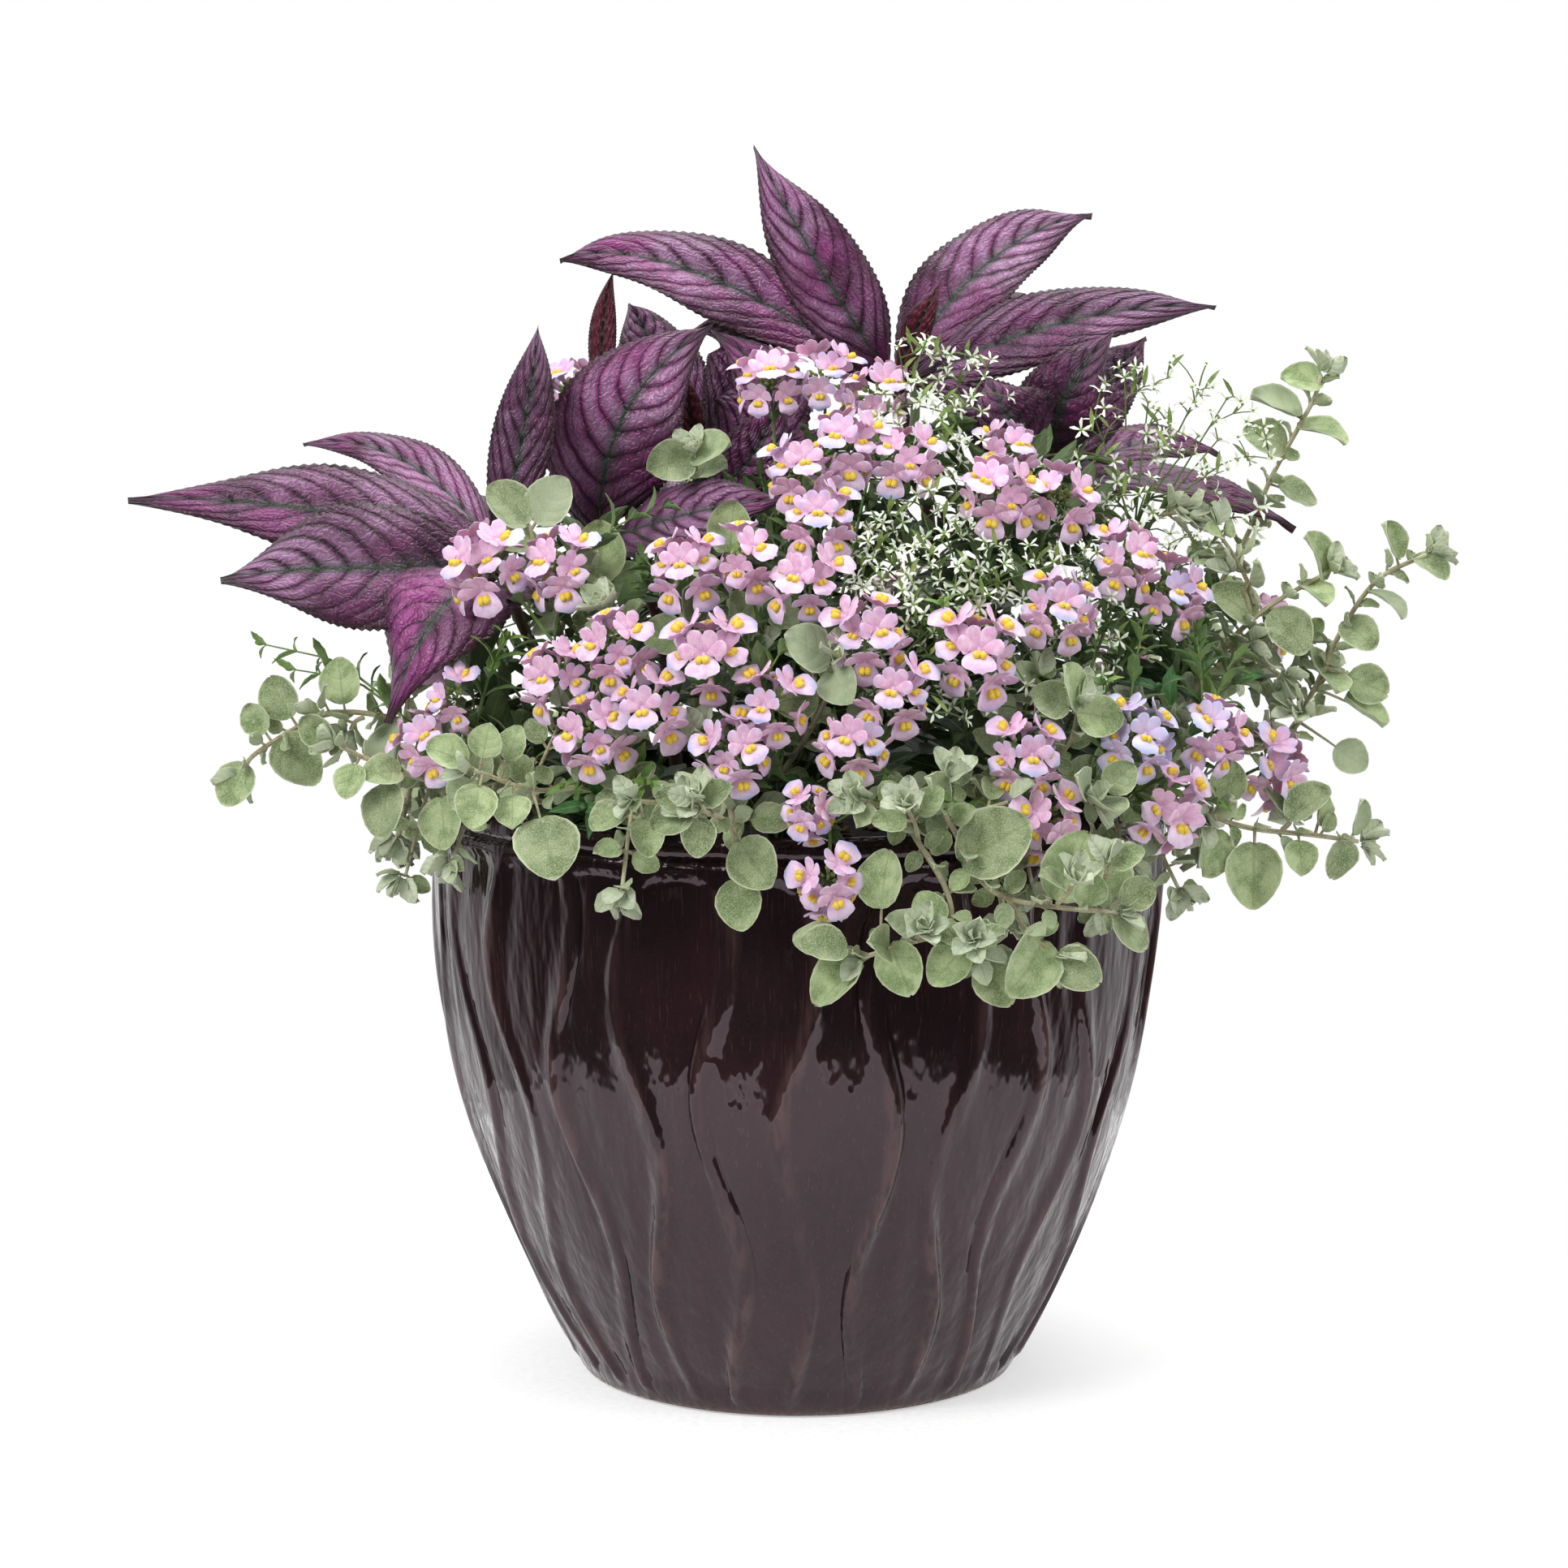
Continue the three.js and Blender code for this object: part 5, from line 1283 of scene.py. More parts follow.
def addSideShoots(plants, blocked):
    # first to the places listed, then all over the mound
    made = 0
    for number, (x, z) in enumerate(brightTips):
        centre, outward = headPlace(x, z)
        if abs(x - mound["x"]) > mound["width"]:
            centre = np.array([x, -60.0, z])
        made += shootTo(plants, blocked, centre + outward * 4, 1000 + number, 2, 0.95)
    for number, (x, z) in enumerate(broadTips):
        made += shootTo(plants, blocked, headPlace(x, z)[0], 1100 + number, 4, 1.4, 3, broadForm)
    for number, place in enumerate(deepTips):
        # two in three of these tips take the inner leaves' painted shade
        paint = 3 if number % 3 else 1
        made += shootTo(plants, blocked, np.array(place, float), 1200 + number, paint, 1.5, 5, plainForm)
    for number in range(plantValues["tries"]):
        if made >= plantValues["fillShoots"]:
            break
        turn = 2 * math.pi * draw(number, 301)
        rise = draw(number, 302) ** 0.8
        depth = pick(*plantValues["fillDepth"], number, 303)
        flat = math.sqrt(max(0, 1 - rise * rise * 0.9))
        end = inMound(turn, depth * flat, 292 + 0.86 * mound["height"] * depth * rise)
        isPast = end[0] > plantValues["rightEnd"] or math.hypot(end[0], end[1]) > plantValues["fillReach"]
        if isPast or not isAway(blocked, end, 5):
            continue
        form = plainForm if depth < plantValues["plainWithin"] else narrowForm
        made += shootTo(plants, blocked, end, number, 2 if draw(number, 304) > 0.8 else 1,
                        pick(0.85, 1.15, number, 305), None, form)
    return made


def addInnerLeaves(plants, blocked):
    # dark leaves on the stems inside the mound, so that nothing shows through it; their darker colour is
    # painted shade
    for number in range(plantValues["innerLeaves"]):
        turn, depth = 2 * math.pi * draw(number, 401), pick(*plantValues["innerFrom"], number, 403)
        foot = inMound(turn, depth, pick(*plantValues["innerHeight"], number, 402))
        if math.hypot(foot[0], foot[1]) > 158 and foot[2] < 300:
            continue
        plant = nearestPlant(plants, foot)
        foot = plant["points"][np.argmin(norm(plant["points"] - foot, axis=1))]
        if foot[2] < 278:
            continue
        around = 2 * math.pi * draw(number, 404)
        lean = unit([math.cos(around), math.sin(around), pick(-0.1, 0.7, number, 405)])
        tip = foot + lean * pick(*plantValues["innerLength"], number, 406)
        if isInside(tip, plantValues["innerDepth"]) and isFree(blocked, foot, tip, 0.1):
            facing = unit([0.5 * (draw(number, 409) - 0.5), -draw(number, 410), 0.9])
            addLeaf(plant["bag"], plainForm, foot, (foot + tip) / 2 + (0, 0, 3), tip, facing,
                    pick(*plantValues["innerHalf"], number, 407), 3, draw(number, 408))


def buildNemesia():
    blocked = obstacles("pot", "purple", "flower", "trailing", "white")
    paints = [stemGreen,
              greenMaterial("leaf, deep", tone(66, 96, 44), tone(46, 74, 34), 0.7),
              greenMaterial("leaf, bright", tone(112, 146, 58), tone(84, 124, 48), 0.5),
              # a darker copy of the leaf colour: painted shade for the leaves inside the mound and in its
              # hollows
              greenMaterial("inner leaf, painted shade", tone(42, 66, 30), tone(28, 48, 22)),
              greenMaterial("leaf, broad", tone(64, 116, 56), tone(50, 96, 46), 0.4)]
    plants = growPlants(blocked)
    made = addSideShoots(plants, blocked)
    addInnerLeaves(plants, blocked)
    for node, plant in plants.items():
        makePiece(node + "_leafy", plant["bag"], paints, "green_leaf", node)
    report("nemesia plants with", made, "side shoots,")


buildNemesia()


# Trailing shoots: felted stems with round cupped leaves in pairs, some hanging over the rim

trailingValues = {
    "stem": 1.4, "fold": 0.16, "thick": 0.7, "smallLeaf": 27.5, "petiole": 0.75, "divide": 60.0,
    "leafHalf": 0.46, "addedHalf": 0.42, "pairStep": 11.0, "pairLength": (8.0, 15.0),
    "rosette": [(5, 12.5, 0.95), (4, 8.5, 0.4)], "shootStem": (1.3, 0.9),
    "fillShoots": 34, "tries": 300, "rimDrop": (250, 306), "rimReach": (196, 214), "rimSway": (-26, 26),
    "uprightFrom": 285, "uprightTop": (322, 345),
    "moundShoots": 38, "moundWide": (-185, 205), "moundHigh": (300, 432), "flowerRoom": 12.0,
    "shootRoom": 24.0,
    # length of a shoot's last pair and of its first, and the share of the shoot where pairs begin
    "rimPairs": (10.0, 21.0, 0.42), "frontPairs": (12.0, 17.0, 0.55), "moundPairs": (13.0, 20.0, 0.6),
}
# tips that the photo shows at the front, as x, y and z
frontTips = [(120, -226, 277), (48, -218, 309), (-44, -220, 313), (127, -160, 350), (54, -226, 256),
             (76, -226, 252), (27, -208, 312), (173, -110, 333), (187, -128, 290), (-16, -120, 385),
             (6, -150, 368), (108, -150, 358), (67, -196, 319), (93, -196, 309), (136, -216, 284),
             (228, -72, 352), (212, -70, 366), (236, -76, 334), (220, -74, 322), (198, -62, 420),
             (180, -60, 428), (-210, -88, 328), (230, -100, 288), (-182, -90, 346), (206, -64, 398),
             (214, -56, 346), (226, -50, 338), (238, -56, 366), (250, -60, 352), (206, -54, 356),
             (-222, -96, 336), (-134, -84, 412)]
trailingShoots = [
    {  # left, over the rim
        "ways": [
            [[-110, -72], [-140, -76, 304], [-168, -78, 324], [-195, -85, 334], [-222, -90, 335],
             [-252, -100, 319], [-259, -101, 310]],
            [[-110, -72], [-134, -98, 302], [-166, -112, 306], [-195, -117, 316], [-212, -118, 324]],
        ],
        "leaves": [[-233, -94, 314, 27], [-189, -92, 320, 27], [-214, -86, 350, 24], [-241, -92, 343, 23],
                   [-262, -102, 304, 22], [-214, -100, 317, 22], [-252, -96, 334, 17],
                   [-190, -122, 294, 27], [-163, -122, 288, 26], [-222, -118, 332, 18],
                   [-178, -108, 322, 20], [-206, -124, 308, 18], [-148, -112, 316, 22]],
    },
    {  # front left of the middle
        "ways": [
            [[-52, -124], [-88, -148, 306], [-120, -164, 310], [-146, -171, 320]],
            [[-52, -124], [-34, -168, 303], [-30, -192, 300], [-38, -208, 305], [-46, -216, 310]],
            [[-34, -168, 303], [-48, -184, 306], [-72, -200, 310]],
        ],
        "leaves": [[-112, -190, 286, 34], [-145, -182, 304, 22], [-128, -180, 302, 20],
                   [-158, -172, 326, 20], [-140, -176, 334, 18], [-128, -168, 332, 17],
                   [-152, -164, 308, 18], [-19, -208, 283, 27], [-26, -204, 264, 24], [-56, -218, 304, 20],
                   [-44, -220, 296, 18], [-84, -204, 302, 18], [-68, -206, 294, 18], [-12, -194, 300, 18]],
    },
    {  # front right, trailing along the rim and hanging lowest
        "ways": [
            [[48, -130], [56, -168, 304], [66, -196, 302], [79, -207, 278], [93, -211, 268],
             [120, -214, 264], [140, -211, 262]],
            [[93, -211, 268], [102, -208, 252], [114, -208, 242]],
            [[48, -130], [42, -168, 304], [54, -196, 290], [66, -206, 270], [66, -209, 254],
             [48, -212, 248], [28, -214, 242]],
            [[66, -209, 254], [80, -212, 242]],
        ],
        "leaves": [[83, -206, 290, 36], [112, -208, 285, 33], [135, -204, 280, 30], [60, -204, 314, 22],
                   [128, -218, 274, 18], [150, -210, 270, 18], [146, -212, 252, 20], [100, -214, 238, 30],
                   [124, -210, 236, 22], [27, -208, 274, 27], [19, -214, 230, 28], [45, -214, 237, 24],
                   [66, -214, 238, 22], [82, -216, 228, 22], [92, -216, 243, 17], [56, -212, 262, 20],
                   [36, -212, 257, 20], [8, -212, 248, 22], [16, -206, 258, 22]],
    },
    {  # right, over the rim and rising beside it
        "ways": [
            [[122, -62], [142, -84, 306], [190, -110, 291], [212, -108, 284], [241, -102, 280],
             [263, -96, 276]],
            [[122, -62], [176, -54, 306], [228, -60, 318], [245, -62, 343], [258, -62, 372],
             [275, -60, 396], [298, -60, 408]],
            [[176, -54, 306], [192, -62, 350], [218, -66, 380], [250, -66, 400]],
        ],
        "leaves": [[212, -116, 262, 30], [228, -104, 300, 24], [190, -118, 274, 24], [253, -96, 268, 20],
                   [262, -98, 288, 18], [244, -98, 292, 17], [200, -106, 306, 20], [234, -112, 270, 18],
                   [243, -68, 407, 23], [205, -66, 384, 24], [232, -72, 372, 26], [242, -70, 391, 20],
                   [280, -62, 414, 20], [299, -62, 402, 18], [278, -66, 384, 22], [266, -66, 370, 20],
                   [250, -66, 350, 22], [270, -60, 346, 22], [268, -64, 332, 24], [262, -66, 312, 20],
                   [196, -72, 344, 22]],
    },
    {  # tall one at the right
        "ways": [
            [[128, 34], [176, 26, 330], [206, 6, 386], [221, 2, 415], [231, 0, 441], [250, 0, 477],
             [254, 0, 490]],
        ],
        "leaves": [[231, -2, 474, 26], [227, -2, 459, 24], [254, -2, 460, 25], [226, -4, 430, 26],
                   [246, 0, 486, 20], [244, 4, 432, 22], [200, 16, 400, 20]],
    },
    {  # small tip among the purple leaves
        "ways": [
            [[-30, -36], [-34, -40, 350], [-44, -40, 405], [-47, -44, 438], [-49, -52, 454]],
        ],
        "leaves": [[-61, -58, 450, 24], [-40, -56, 456, 22], [-42, -54, 444, 20], [-50, -62, 380, 24]],
    },
    {  # left of the middle, above the heads
        "ways": [
            [[-88, -50], [-100, -74, 330], [-116, -84, 390], [-126, -82, 424]],
            [[-100, -74, 330], [-92, -92, 372], [-92, -96, 402]],
        ],
        "leaves": [[-136, -84, 432, 26], [-115, -82, 435, 26], [-92, -94, 412, 28], [-113, -98, 380, 26],
                   [-78, -96, 398, 22], [-130, -86, 414, 20]],
    },
    {  # middle front
        "ways": [
            [[-34, -84], [-46, -112, 340], [-44, -122, 380], [-30, -116, 416]],
            [[-46, -112, 340], [-22, -134, 372]],
            [[-34, -84], [-4, -130, 318], [12, -164, 350], [16, -176, 370]],
        ],
        "leaves": [[-48, -132, 388, 25], [-16, -136, 386, 26], [-30, -118, 426, 24], [-44, -118, 404, 20],
                   [-62, -126, 376, 22], [4, -180, 376, 26], [20, -182, 358, 22], [-2, -172, 352, 22],
                   [30, -176, 345, 18]],
    },
    {  # right front, low
        "ways": [
            [[94, -96], [108, -122, 308], [122, -160, 330], [126, -170, 348]],
            [[108, -122, 308], [132, -176, 306]],
        ],
        "leaves": [[122, -174, 358, 24], [136, -168, 344, 22], [112, -176, 346, 20], [136, -184, 304, 24],
                   [126, -188, 316, 18], [144, -178, 318, 18]],
    },
    {  # back, over the rim and up to the right
        "ways": [
            [[4, 128], [-78, 164, 306], [-104, 204, 292], [-120, 214, 262]],
            [[4, 128], [-16, 180, 306], [-8, 212, 272], [4, 216, 246]],
            [[4, 128], [84, 158, 306], [112, 196, 300], [140, 206, 280]],
            [[84, 158, 306], [140, 150, 326], [190, 142, 334], [222, 132, 330]],
        ],
        "leaves": [[-124, 212, 286, 28], [-96, 214, 276, 26], [-130, 218, 252, 24], [-92, 190, 314, 24],
                   [-20, 208, 296, 24], [8, 216, 272, 26], [-18, 220, 256, 24], [16, 220, 238, 20],
                   [-48, 172, 320, 24], [96, 200, 312, 26], [124, 208, 286, 26], [146, 210, 268, 22],
                   [160, 158, 340, 26], [192, 150, 318, 26], [216, 142, 346, 22], [130, 166, 344, 22]],
    },
]


def roundWidth(w):
    # widest nearer the foot, with a blunt tip
    return 0.98 * np.sin(np.pi * np.clip(w, 0, 1) ** 0.84) ** 0.58


def roundForm(rows, columns):
    w = np.linspace(0, 1, rows) ** 0.9
    w = np.clip(0.5 - 0.5 * np.cos(np.pi * w), 0.006, 0.996)

    def cushion(u, v):
        crease = -0.35 * np.exp(-(v / 0.18) ** 2)
        return crease + 0.3 * np.sin(9 * u + 4 * np.abs(v))

    return leafForm(w, roundWidth(w), np.linspace(-1, 1, columns), trailingValues["thick"],
                    trailingValues["fold"], cushion)


largeRound, smallRound, tinyRound = roundForm(10, 6), roundForm(7, 4), roundForm(5, 3)


def feltedMaterial(name, body, other, spread):
    material, place = newMaterial(name, Sheen_Weight=0.35, Sheen_Roughness=0.6,
                                  Sheen_Tint=tone(226, 232, 214), Specular_IOR_Level=0.25)
    random = place.parts()[2]
    vein = use(material, veins, Place=place, Pairs=4.0, Sweep=0.35, Width=0.14, Midrib_Width=0.1)
    rim = use(material, leafRim, Place=place, Start=0.88)["Rim"]
    felt = use(material, mottle, Colour=body, Other_Colour=other, Scale=110.0, Random=random, Spread=spread,
               Grain_Scale=2600.0)
    fuzz = noise(whereOn(place.tree), 1900.0, 3.0)
    lines = vein["Midrib"].calc("MAXIMUM", vein["Vein"] * 0.5)
    colour = layered(
        felt["Colour"],
        (fuzz.ease(0.42, 0.64, 0.0, 0.4), tone(214, 220, 188)),
        (lines * 0.35, tone(98, 120, 72)),
        (random.ease(0.62, 0.95) * 0.6, tone(172, 184, 156)),
        (rim * 0.8, tone(206, 212, 180)),
        (underside(material) * 0.55, tone(176, 186, 154)))
    return finish(material, colour, 0.85, felt["Grain"] * 0.8 + vein["Puff"], 0.5)


def roundLeaf(stems, x, y, z, length, turn):
    wanted = np.array([x, y, z], float)
    foot, onStem = nearestOnStems(stems, wanted)
    way = unit(wanted - foot)
    outward = unit([(x - mound["x"]) / mound["width"], -1.6 if y < trailingValues["divide"] else 1.6, 1])
    face = turnAbout(outward, way, turn * 0.5)
    way = turnAbout(way, face, turn)
    reach = max(norm(wanted - foot), 0.42 * length) + 0.5 * length
    tip = foot + way * reach
    stalk = 1 - length / reach
    outline = [(0.2, 0.86), (0.66, 0.94)] if length < trailingValues["smallLeaf"] else [
        (0.13, 0.74), (0.48, 1), (0.84, 0.68)]
    edge = [(stalk + (1 - stalk) * u, width) for u, width in outline]
    via = (foot + tip) / 2 + face * 0.05 * length
    half = trailingValues["leafHalf"] * length
    found = bladeCorners(foot, via, tip, face, edge, half, trailingValues["fold"])
    return {"foot": onStem, "tip": tip, "face": face, "half": half, "stalk": stalk, "length": length,
            "corners": found}


def addRoundLeaf(bag, leaf, random, form, paint=0, cup=0.08):
    foot, tip = leaf["foot"], leaf["tip"]
    face = turnAbout(leaf["face"], tip - foot, 60 * (draw(random * 37, 3) - 0.5))
    cup = cup + 0.36 * draw(random * 53, 4) - 0.08
    via = (foot + tip) / 2 + face * pick(0.02, 0.15, random * 71, 5) * leaf["length"]
    stalk = bow(foot, via, tip, np.linspace(0, leaf["stalk"] + 0.12, 4)[:, None])[0]
    if form is not tinyRound:
        addTube(bag, stalk - face * 0.3, trailingValues["petiole"] * np.array([1.2, 1, 0.9, 0.5]), 4, 1, 0.5)
    addLeaf(bag, form, foot, via, tip, face, leaf["half"], paint, random, leaf["stalk"], cup, 0.03)


def freeRoundLeaf(bag, foot, way, length, random, blocked, paint=0, form=None):
    # an added leaf, left out where it would pass through its neighbours
    tip = foot + way * length * 1.25
    outward = unit([foot[0] - mound["x"], foot[1], 90])
    face = unit(outward - np.dot(outward, way) * way + 0.25 * upward)
    aside = unit(np.cross(way, face)) * length * 0.4
    middle = (foot + tip) / 2
    if not (isFree(blocked, foot, tip, 0.25) and isFree(blocked, middle - aside, middle + aside, 0)):
        return False
    leaf = {"foot": foot, "tip": tip, "face": face, "half": trailingValues["addedHalf"] * length,
            "stalk": 0.2, "length": length}
    addRoundLeaf(bag, leaf, random, form or smallRound, paint, cup=0.16)
    return True


def addPairsAlong(bag, path, number, blocked, low, high, first=0.25, form=None):
    length = np.concatenate([[0], np.cumsum(norm(np.diff(path, axis=0), axis=1))])
    at, k = length[-1] * first, 0
    while at < length[-1] - 2:
        spot = int(np.searchsorted(length, at))
        way = unit(path[min(spot + 1, len(path) - 1)] - path[max(spot - 1, 0)])
        aside = turnAbout(unit(np.cross(way, [0.2, 0.3, 0.93])), way, 90 * k + 50 * draw(number, 20))
        size = between(high, low, at / length[-1]) * pick(0.85, 1.15, number, 30 + k)
        x, y, z = path[spot]
        if z < 255 or z > 296 or math.hypot(x, y) > 180:
            for side in (1, -1):
                lean = unit(aside * side + 0.45 * way + 0.15 * upward)
                freeRoundLeaf(bag, path[spot], lean, size, draw(number, k + side), blocked, 0, form)
        at += trailingValues["pairStep"] * pick(0.8, 1.2, number, 50 + k)
        k += 1
    end, way = path[-1], unit(path[-1] - path[-3])
    for count, size, spread in trailingValues["rosette"]:
        for j in range(count):
            aside = turnAbout(unit(np.cross(way, [0.2, 0.3, 0.93])), way, 360 * j / count + 4 * size)
            freeRoundLeaf(bag, end, unit(way + spread * aside), size, draw(number, 70 + j), blocked, 2,
                          tinyRound)


def addFeltedShoot(bag, path, number, blocked, *sizes):
    addTube(bag, path, np.linspace(*trailingValues["shootStem"], len(path)), 6, 1, 0.4)
    addPairsAlong(bag, path, number, blocked, *sizes, smallRound)


def addFrontShoots(bag, blocked):
    # felted tips at the front, each joined to the nearest trailing stem where one is near
    stems = [stemLine(way) for shoot in trailingShoots for way in shoot["ways"]]
    taken = []
    for number, tip in enumerate(frontTips):
        tip = np.array(tip, float)
        outward = unit([tip[0] * 0.004, -0.8, 0.35])
        foot = nearestOnStems(stems, tip - outward * 12)[1]
        path = curveThrough([foot, (foot + tip) / 2 + outward * 3, tip], 9)
        if norm(foot - tip) > 60:
            path = curveThrough([tip - outward * 34 - (0, 0, 6), tip - outward * 14 + (0, 0, 1), tip], 9)
        free = [j for j in range(9) if isClear(blocked, path[j:])]
        if len(free) < 3:
            continue
        thick = np.linspace(*trailingValues["shootStem"], 9)
        addTube(bag, path[free[0]:], thick[free[0]:], 6, 1, 0.4)
        addPairsAlong(bag, path[free[0]:], 1400 + number, blocked, *trailingValues["frontPairs"], smallRound)
        taken.append(tip)
    return taken


def addMoundShoots(bag, blocked, taken):
    # felted tips that stand between the flower heads, in front and behind
    middles = flowerMiddles()
    number = 0
    while number < 900 and len(taken) < trailingValues["moundShoots"]:
        number += 1
        side = 1 if number % 3 == 0 else -1
        x = pick(*trailingValues["moundWide"], number, 601)
        z = pick(*trailingValues["moundHigh"], number, 602)
        centre, outward = headPlace(x, z, None, side, 0.96)
        inSpray = side < 0 and ((x - 86) / 70) ** 2 + ((z - 392) / 60) ** 2 < 1
        if abs(centre[1]) < 20 or inSpray or min(norm(middles - centre, axis=1)) < trailingValues[
                "flowerRoom"] or not isAway(blocked, centre, 7):
            continue
        if taken and min(norm(np.array(taken) - centre, axis=1)) < trailingValues["shootRoom"]:
            continue
        path = curveThrough([centre - outward * 42 - (0, 0, 16), centre - outward * 18 - (0, 0, 4),
                             centre + outward * 2], 9)
        if isClear(blocked, path[2:]):
            addFeltedShoot(bag, path, 1500 + number, blocked, *trailingValues["moundPairs"])
            taken.append(centre)
    return len(taken)


def addRimShoots(bag, blocked):
    # from just inside the rim, over it and down, or up and outward where the tip is high
    made = 0
    for number in range(trailingValues["tries"]):
        if made >= trailingValues["fillShoots"]:
            break
        angle = math.radians(360 * draw(number, 501))
        away = np.array([math.cos(angle), math.sin(angle), 0])
        low = pick(*trailingValues["rimDrop"], number, 502)
        reach = pick(*trailingValues["rimReach"], number, 503)
        side = np.cross(upward, away) * pick(*trailingValues["rimSway"], number, 504)
        end = away * reach + side + (0, 0, low)
        if low > trailingValues["uprightFrom"]:
            end = away * 172 + side * 1.4 + (0, 0, pick(*trailingValues["uprightTop"], number, 505))
        path = curveThrough([away * 146 + side * 0.3 + (0, 0, 262), away * 162 + side * 0.4 + (0, 0, 296),
                             away * 186 + side * 0.7 + (0, 0, 304), end], 16)
        if isClear(blocked, path):
            addFeltedShoot(bag, path, 900 + number, blocked, *trailingValues["rimPairs"])
            made += 1
    return made


def addModelShoot(bag, node, k, shoot, blocked):
    # a trailing shoot with the leaves that the model holds, and small pairs along its stems
    stems = [stemLine(way) for way in shoot["ways"]]
    thick = trailingValues["stem"]
    paths = [addStem(bag, stem, thick * 1.1, thick * 0.75, 8, 1, 0.4, len(way[0]) == 2, 5.0)
             for stem, way in zip(stems, shoot["ways"])]
    leaves = 0
    for i, (x, y, z, length) in enumerate(shoot["leaves"]):
        forms = [roundLeaf(stems, x, y, z, length * size, turn) for size in (1, 0.82)
                 for turn in (0, 25, -25, 50, -50, 80, -80, 120)]
        match = [shareFound(node, form["corners"]) for form in forms]
        leaf = forms[int(np.argmax(match))]
        if max(match) >= 0.4:
            addRoundLeaf(bag, leaf, draw(i, k + 0.5), largeRound if leaf["length"] > 17 else smallRound)
            leaves += 1
    for i, path in enumerate(paths):
        addPairsAlong(bag, path, 40 * k + i, blocked, *trailingValues["pairLength"])
    return leaves


def buildTrailing():
    paints = [feltedMaterial("felted leaf", tone(156, 173, 124), tone(108, 131, 78), 0.6),
              feltedMaterial("felted stem", tone(170, 160, 126), tone(136, 120, 90), 0.2),
              feltedMaterial("felted tip", tone(204, 212, 190), tone(180, 192, 162), 0.25)]
    blocked = obstacles("pot", "purple", "flower", "white", "trailing")
    leaves = 0
    for k, shoot in enumerate(trailingShoots):
        node, bag = f"trailing_shoot_{k + 1:02d}", newBag()
        leaves += addModelShoot(bag, node, k, shoot, blocked)
        makePiece(node + "_fine", bag, paints, "felted_leaf", node)
    bag = newBag()
    made = addRimShoots(bag, blocked)
    upright = addMoundShoots(bag, blocked, addFrontShoots(bag, blocked))
    makePiece("trailing_fill", bag, paints, "felted_leaf")
    report("trailing shoots:", leaves, "of the model's leaves,", made, "more shoots and", upright,
           "in the mound,")


buildTrailing()


# White sprays: thread-like green twigs with stars of narrow white bracts

sprayValues = {
    "twig": 0.35, "bractLong": 6.2, "bractHalf": 0.85, "bracts": 4,
    # [wanted, middle x and z, spread x and z, depth low and high, from the mound's face or not]
    "white_spray_middle": [(260, 86, 392, 70, 64, -6, 34, True), (55, 62, 482, 36, 28, -108, -70, False)],
    "white_spray_right": [(105, 178, 450, 50, 52, -78, -30, False)],
}
whiteSprays = {
    "white_spray_middle": {
        "way": [[56, -62], [62, -96, 340], [66, -122, 380], [74, -128, 410]],
        "reachX": [30, 122], "reachZ": [352, 432], "stars": 20,
    },
    "white_spray_right": {
        "way": [[108, -30], [140, -44, 350], [158, -50, 410], [168, -48, 440]],
        "reachX": [140, 214], "reachZ": [424, 484], "y": -52, "stars": 12,
    },
}
bractForm = leafForm([0.02, 0.6, 1.0], [0.4, 1.05, 0.3], [-1, 0, 1], 0.18, 0.12)


def whiteBractMaterial():
    material, place = newMaterial(
        "white bract", Subsurface_Weight=0.1, Subsurface_Scale=0.0015, Sheen_Weight=0.1)
    along, across, random = place.parts()
    paper = use(material, mottle, Colour=tone(244, 246, 234), Other_Colour=tone(226, 234, 208), Scale=300.0,
                Random=random, Spread=0.1, Grain_Scale=2600.0)
    colour = layered(paper["Colour"], (along.ease(0.3, 0.0), tone(176, 204, 132)))
    return finish(material, colour, 0.6, paper["Grain"], 0.25, 0.0003)


def addStar(bag, to, direction, number, size=1.0, turn=0.0):
    right, up = crossedTo(direction)
    count = sprayValues["bracts"] + int(draw(number, 15) > 0.6)
    for k in range(count):
        angle = 360 * k / count + turn + 18 * draw(number, 16 + k)
        reach = sprayValues["bractLong"] * size * pick(0.78, 1.0, number, 26 + k)
        out = toward(right, up, angle)
        foot = to + direction * 0.9 + out * 0.3
        tip = to + direction * pick(1.6, 3.2, number, 36 + k) + out * reach
        curl = toward(up, -right, angle)
        via = ((foot + tip) / 2 + direction * pick(0.2, 0.9, number, 46 + k)
               + curl * pick(-0.9, 0.9, number, 76 + k))
        addLeaf(bag, bractForm, foot, via, tip, direction, sprayValues["bractHalf"] * size, 0,
                draw(number, 56 + k))
    addBud(bag, to + direction * 0.4, to + direction * 2.2, 0.75 * size, 2, draw(number, 66), 4)


def findStar(node, spray, stem, number):
    # a star's place is one of six draws, and the model holds the one that its corners fit
    found = []
    for attempt in range(6):
        x = pick(*spray["reachX"], number, 1 + 7 * attempt)
        z = pick(*spray["reachZ"], number, 2 + 7 * attempt)
        to = headPlace(x, z, spray.get("y"))[0] + (0, 8 - 16 * draw(number, 3 + attempt), 0)
        root = straightAlong(stem, 0.55 + 0.44 * draw(number, 4))
        direction = unit(to - root)
        right, up = crossedTo(direction)
        turn = 120 * draw(number, 5) + 30
        rim = [to + direction * 2.4 + 6.5 * toward(right, up, 120 * j + turn) for j in range(3)]
        found.append((shareFound(node, rim), to, root, direction, turn))
    return max(found, key=lambda each: each[0])


def addTwig(bag, points, start, middle, end, count, low, high, sides):
    twig = curveThrough([start, middle, end], count)
    addTube(bag, twig, np.linspace(low, high, count), sides, 1, 0.3)
    points += list(twig[1:])
    return twig


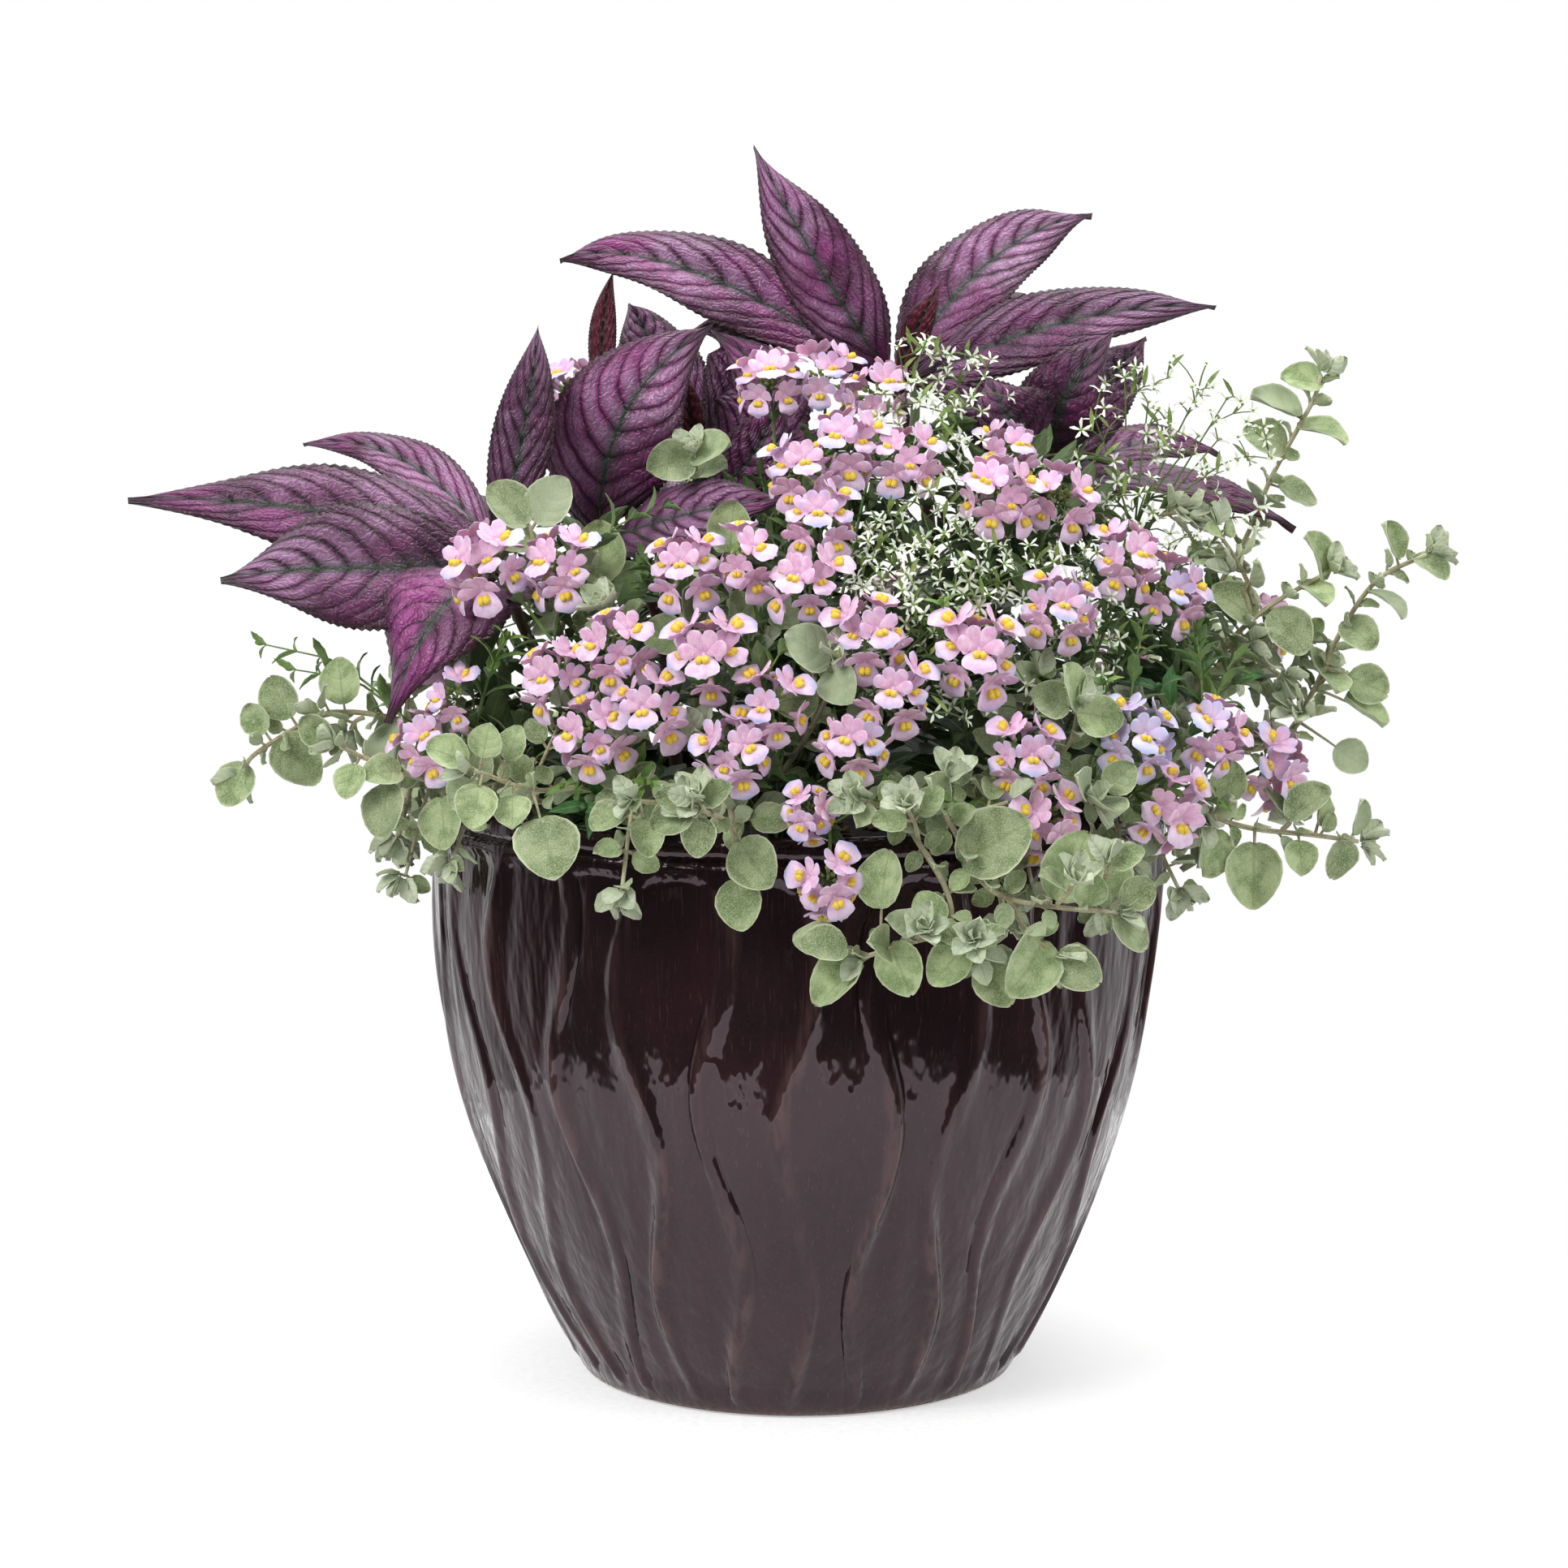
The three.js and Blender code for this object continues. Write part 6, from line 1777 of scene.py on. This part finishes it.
def fillSpray(bag, node, first, points, blocked):
    # more stars, each on a twig from the nearest point of the spray that lies no higher
    counts = {}
    for number in range(first, first + 1800):
        patches = [patch for patch in sprayValues[node] if counts.get(patch, 0) < patch[0]]
        if not patches:
            break
        patch = patches[number % len(patches)]
        wanted, midX, midZ, spreadX, spreadZ, nearest, farthest, onFace = patch
        a, r = 2 * math.pi * draw(number, 11), math.sqrt(draw(number, 12))
        x, z = midX + spreadX * r * math.cos(a), midZ + spreadZ * r * math.sin(a)
        y = pick(nearest, farthest, number, 13) + (headPlace(x, z)[0][1] if onFace else 0)
        to = np.array([x, y, z])
        if not isAway(blocked, to, 5.5):
            continue
        near = np.array(points)
        near = near[near[:, 2] < z + 4]
        distance = norm(near - to, axis=1)
        start = near[np.argmin(distance)]
        if distance.min() > 45 or distance.min() < 4 or not isFree(blocked, start, to, 0):
            continue
        direction = unit(unit(to - start) + np.array([0.2 * (draw(number, 14) - 0.5), -0.75, 0.35]))
        middle = (start + to) / 2 + (0, 0, 0.1 * distance.min())
        foot = addTwig(bag, points, start, middle, to, 5, 0.45, 0.3, 4)[2]
        addStar(bag, to, direction, number, pick(0.7, 1.0, number, 17), 360 * draw(number, 18))
        counts[patch] = counts.get(patch, 0) + 1
        if draw(number, 19) > 0.6:
            lean = unit([draw(number, 21) - 0.5, -0.6 * draw(number, 22), 0.5])
            addLeaf(bag, plainForm, foot, foot + lean * 6, foot + lean * 12 + (0, 0, -1),
                    unit([0, -1, 0.6]), 1.1, 2, draw(number, 23))
    return sum(counts.values())


def buildSprays():
    blocked = obstacles("pot", "purple", "flower", "trailing")
    paints = [whiteBractMaterial(), stemGreen, budGreen]
    for which, (node, spray) in enumerate(whiteSprays.items()):
        bag = newBag()
        stem = stemLine(spray["way"])
        path = addStem(bag, stem, 1.0, 0.7, 6, 1, 0.4, rooted=True)
        points = [point for point in path if point[2] > 320]
        stars = 0
        for number in range(500 + 100 * which, 500 + 100 * which + spray["stars"]):
            match, to, root, direction, turn = findStar(node, spray, stem, number)
            if match < 0.5:
                continue
            stars += 1
            start = path[np.argmin(norm(path - root, axis=1))]
            addTwig(bag, points, start, (start + to) / 2 + (0, 0, 2), to + direction, 6, 0.6,
                    sprayValues["twig"], 6)
            addStar(bag, to, direction, number, 1.0, turn)
        made = fillSpray(bag, node, 2000 + 5000 * which, points, blocked)
        makePiece(node + "_fine", bag, paints, "white_bract", node)
        print(node, stars, "of the model's stars and", made, "more")
    report("white sprays")


buildSprays()
print("in all", triangles["all"], "triangles")


# Floor, lights and camera

stageValues = {
    "cameraPlace": (-0.0064, -2.040, 0.573), "pitchDown": 7.9, "halfView": 10.6,
    "floorRadius": 0.468, "floorGlow": 0.45,
    "lights": [("key softbox", (-1.15, -1.15, 1.35), 0.9, 21.0),
               ("fill softbox", (1.25, -0.9, 0.95), 0.8, 8.0), ("top softbox", (0.1, 0.25, 1.9), 1.3, 20.0)],
    "aim": (0.0, 0.0, 0.3), "surround": 0.62,
}


def buildFloor():
    around = 96
    angle = 2 * np.pi * np.arange(around) / around
    edge = stageValues["floorRadius"] / millimetre
    rows = [(10, -6), (edge - 20, -6), (edge, -6), (edge, -0.5), (edge - 2, 0), (300, 0), (10, 0)]
    rings = [np.stack([r * np.cos(angle), r * np.sin(angle), np.full(around, z)], -1) for r, z in rows]
    quads, tris = ringFaces(len(rows), around)
    points = np.concatenate([np.array(rings).reshape(-1, 3), [(0, 0, -6)], [(0, 0, 0)]])
    mesh = bpy.data.meshes.new("floor")
    mesh.from_pydata((points * millimetre).tolist(), [], quads.tolist() + tris.tolist())
    floor = addObject("floor", mesh)
    material, place = newMaterial("pale floor", Specular_IOR_Level=0.2,
                                  Emission_Strength=stageValues["floorGlow"])
    paper = use(material, mottle, Colour=(0.9, 0.9, 0.9, 1), Other_Colour=(0.88, 0.88, 0.88, 1), Scale=4.0,
                Grain_Scale=300.0)
    # brighter at the edge, so that no rim shows against the white
    reach = add(place.tree, "ShaderNodeVectorMath", {0: whereOn(place.tree)}, operation="LENGTH")["Value"]
    glow = layered((1, 1, 1, 1), (reach.ease(0.44, 0.462), (2.4, 2.4, 2.4, 1)))
    connect(glow, shaderInput(material, "Emission Color"))
    mesh.materials.append(finish(material, paper["Colour"], 0.8))


def buildLights():
    for name, place, size, power in stageValues["lights"]:
        lamp = bpy.data.lights.new(name, "AREA")
        lamp.shape, lamp.size, lamp.energy = "SQUARE", size, power
        light = addObject(name, lamp)
        light.location = place
        way = Vector(stageValues["aim"]) - Vector(place)
        light.rotation_euler = way.to_track_quat("-Z", "Y").to_euler()


def buildSurround():
    # white where the camera looks past the floor, an even grey for soft light, and in the gloss
    # a dark room in front with a pale wall behind
    world = bpy.data.worlds.new("studio")
    bpy.context.scene.world = world
    world.use_nodes = True
    tree = world.node_tree
    tree.nodes.clear()
    aside, ahead, above = add(tree, "ShaderNodeTexCoord")["Generated"].parts()
    rays = add(tree, "ShaderNodeLightPath")
    seen = layered(above.ease(-0.3, 0.5, 0.6, 1.0) * stageValues["surround"],
                   (rays["Is Glossy Ray"], ahead.ease(-0.15, 0.45, 0.02, 0.9)),
                   (rays["Is Camera Ray"], (1, 1, 1, 1)))
    background = add(tree, "ShaderNodeBackground", {"Color": seen, "Strength": 1.0})
    add(tree, "ShaderNodeOutputWorld", {0: background[0]})


def buildCamera():
    view = bpy.data.cameras.new("camera")
    view.sensor_width = 36.0
    view.lens = 18.0 / math.tan(math.radians(stageValues["halfView"]))
    view.clip_start, view.clip_end = 0.1, 30.0
    camera = addObject("camera", view)
    camera.location = stageValues["cameraPlace"]
    camera.rotation_euler = (math.radians(90 - stageValues["pitchDown"]), 0, 0)
    bpy.context.scene.camera = camera


buildFloor()
buildLights()
buildSurround()
buildCamera()
bpy.context.scene.view_settings.view_transform = "Standard"
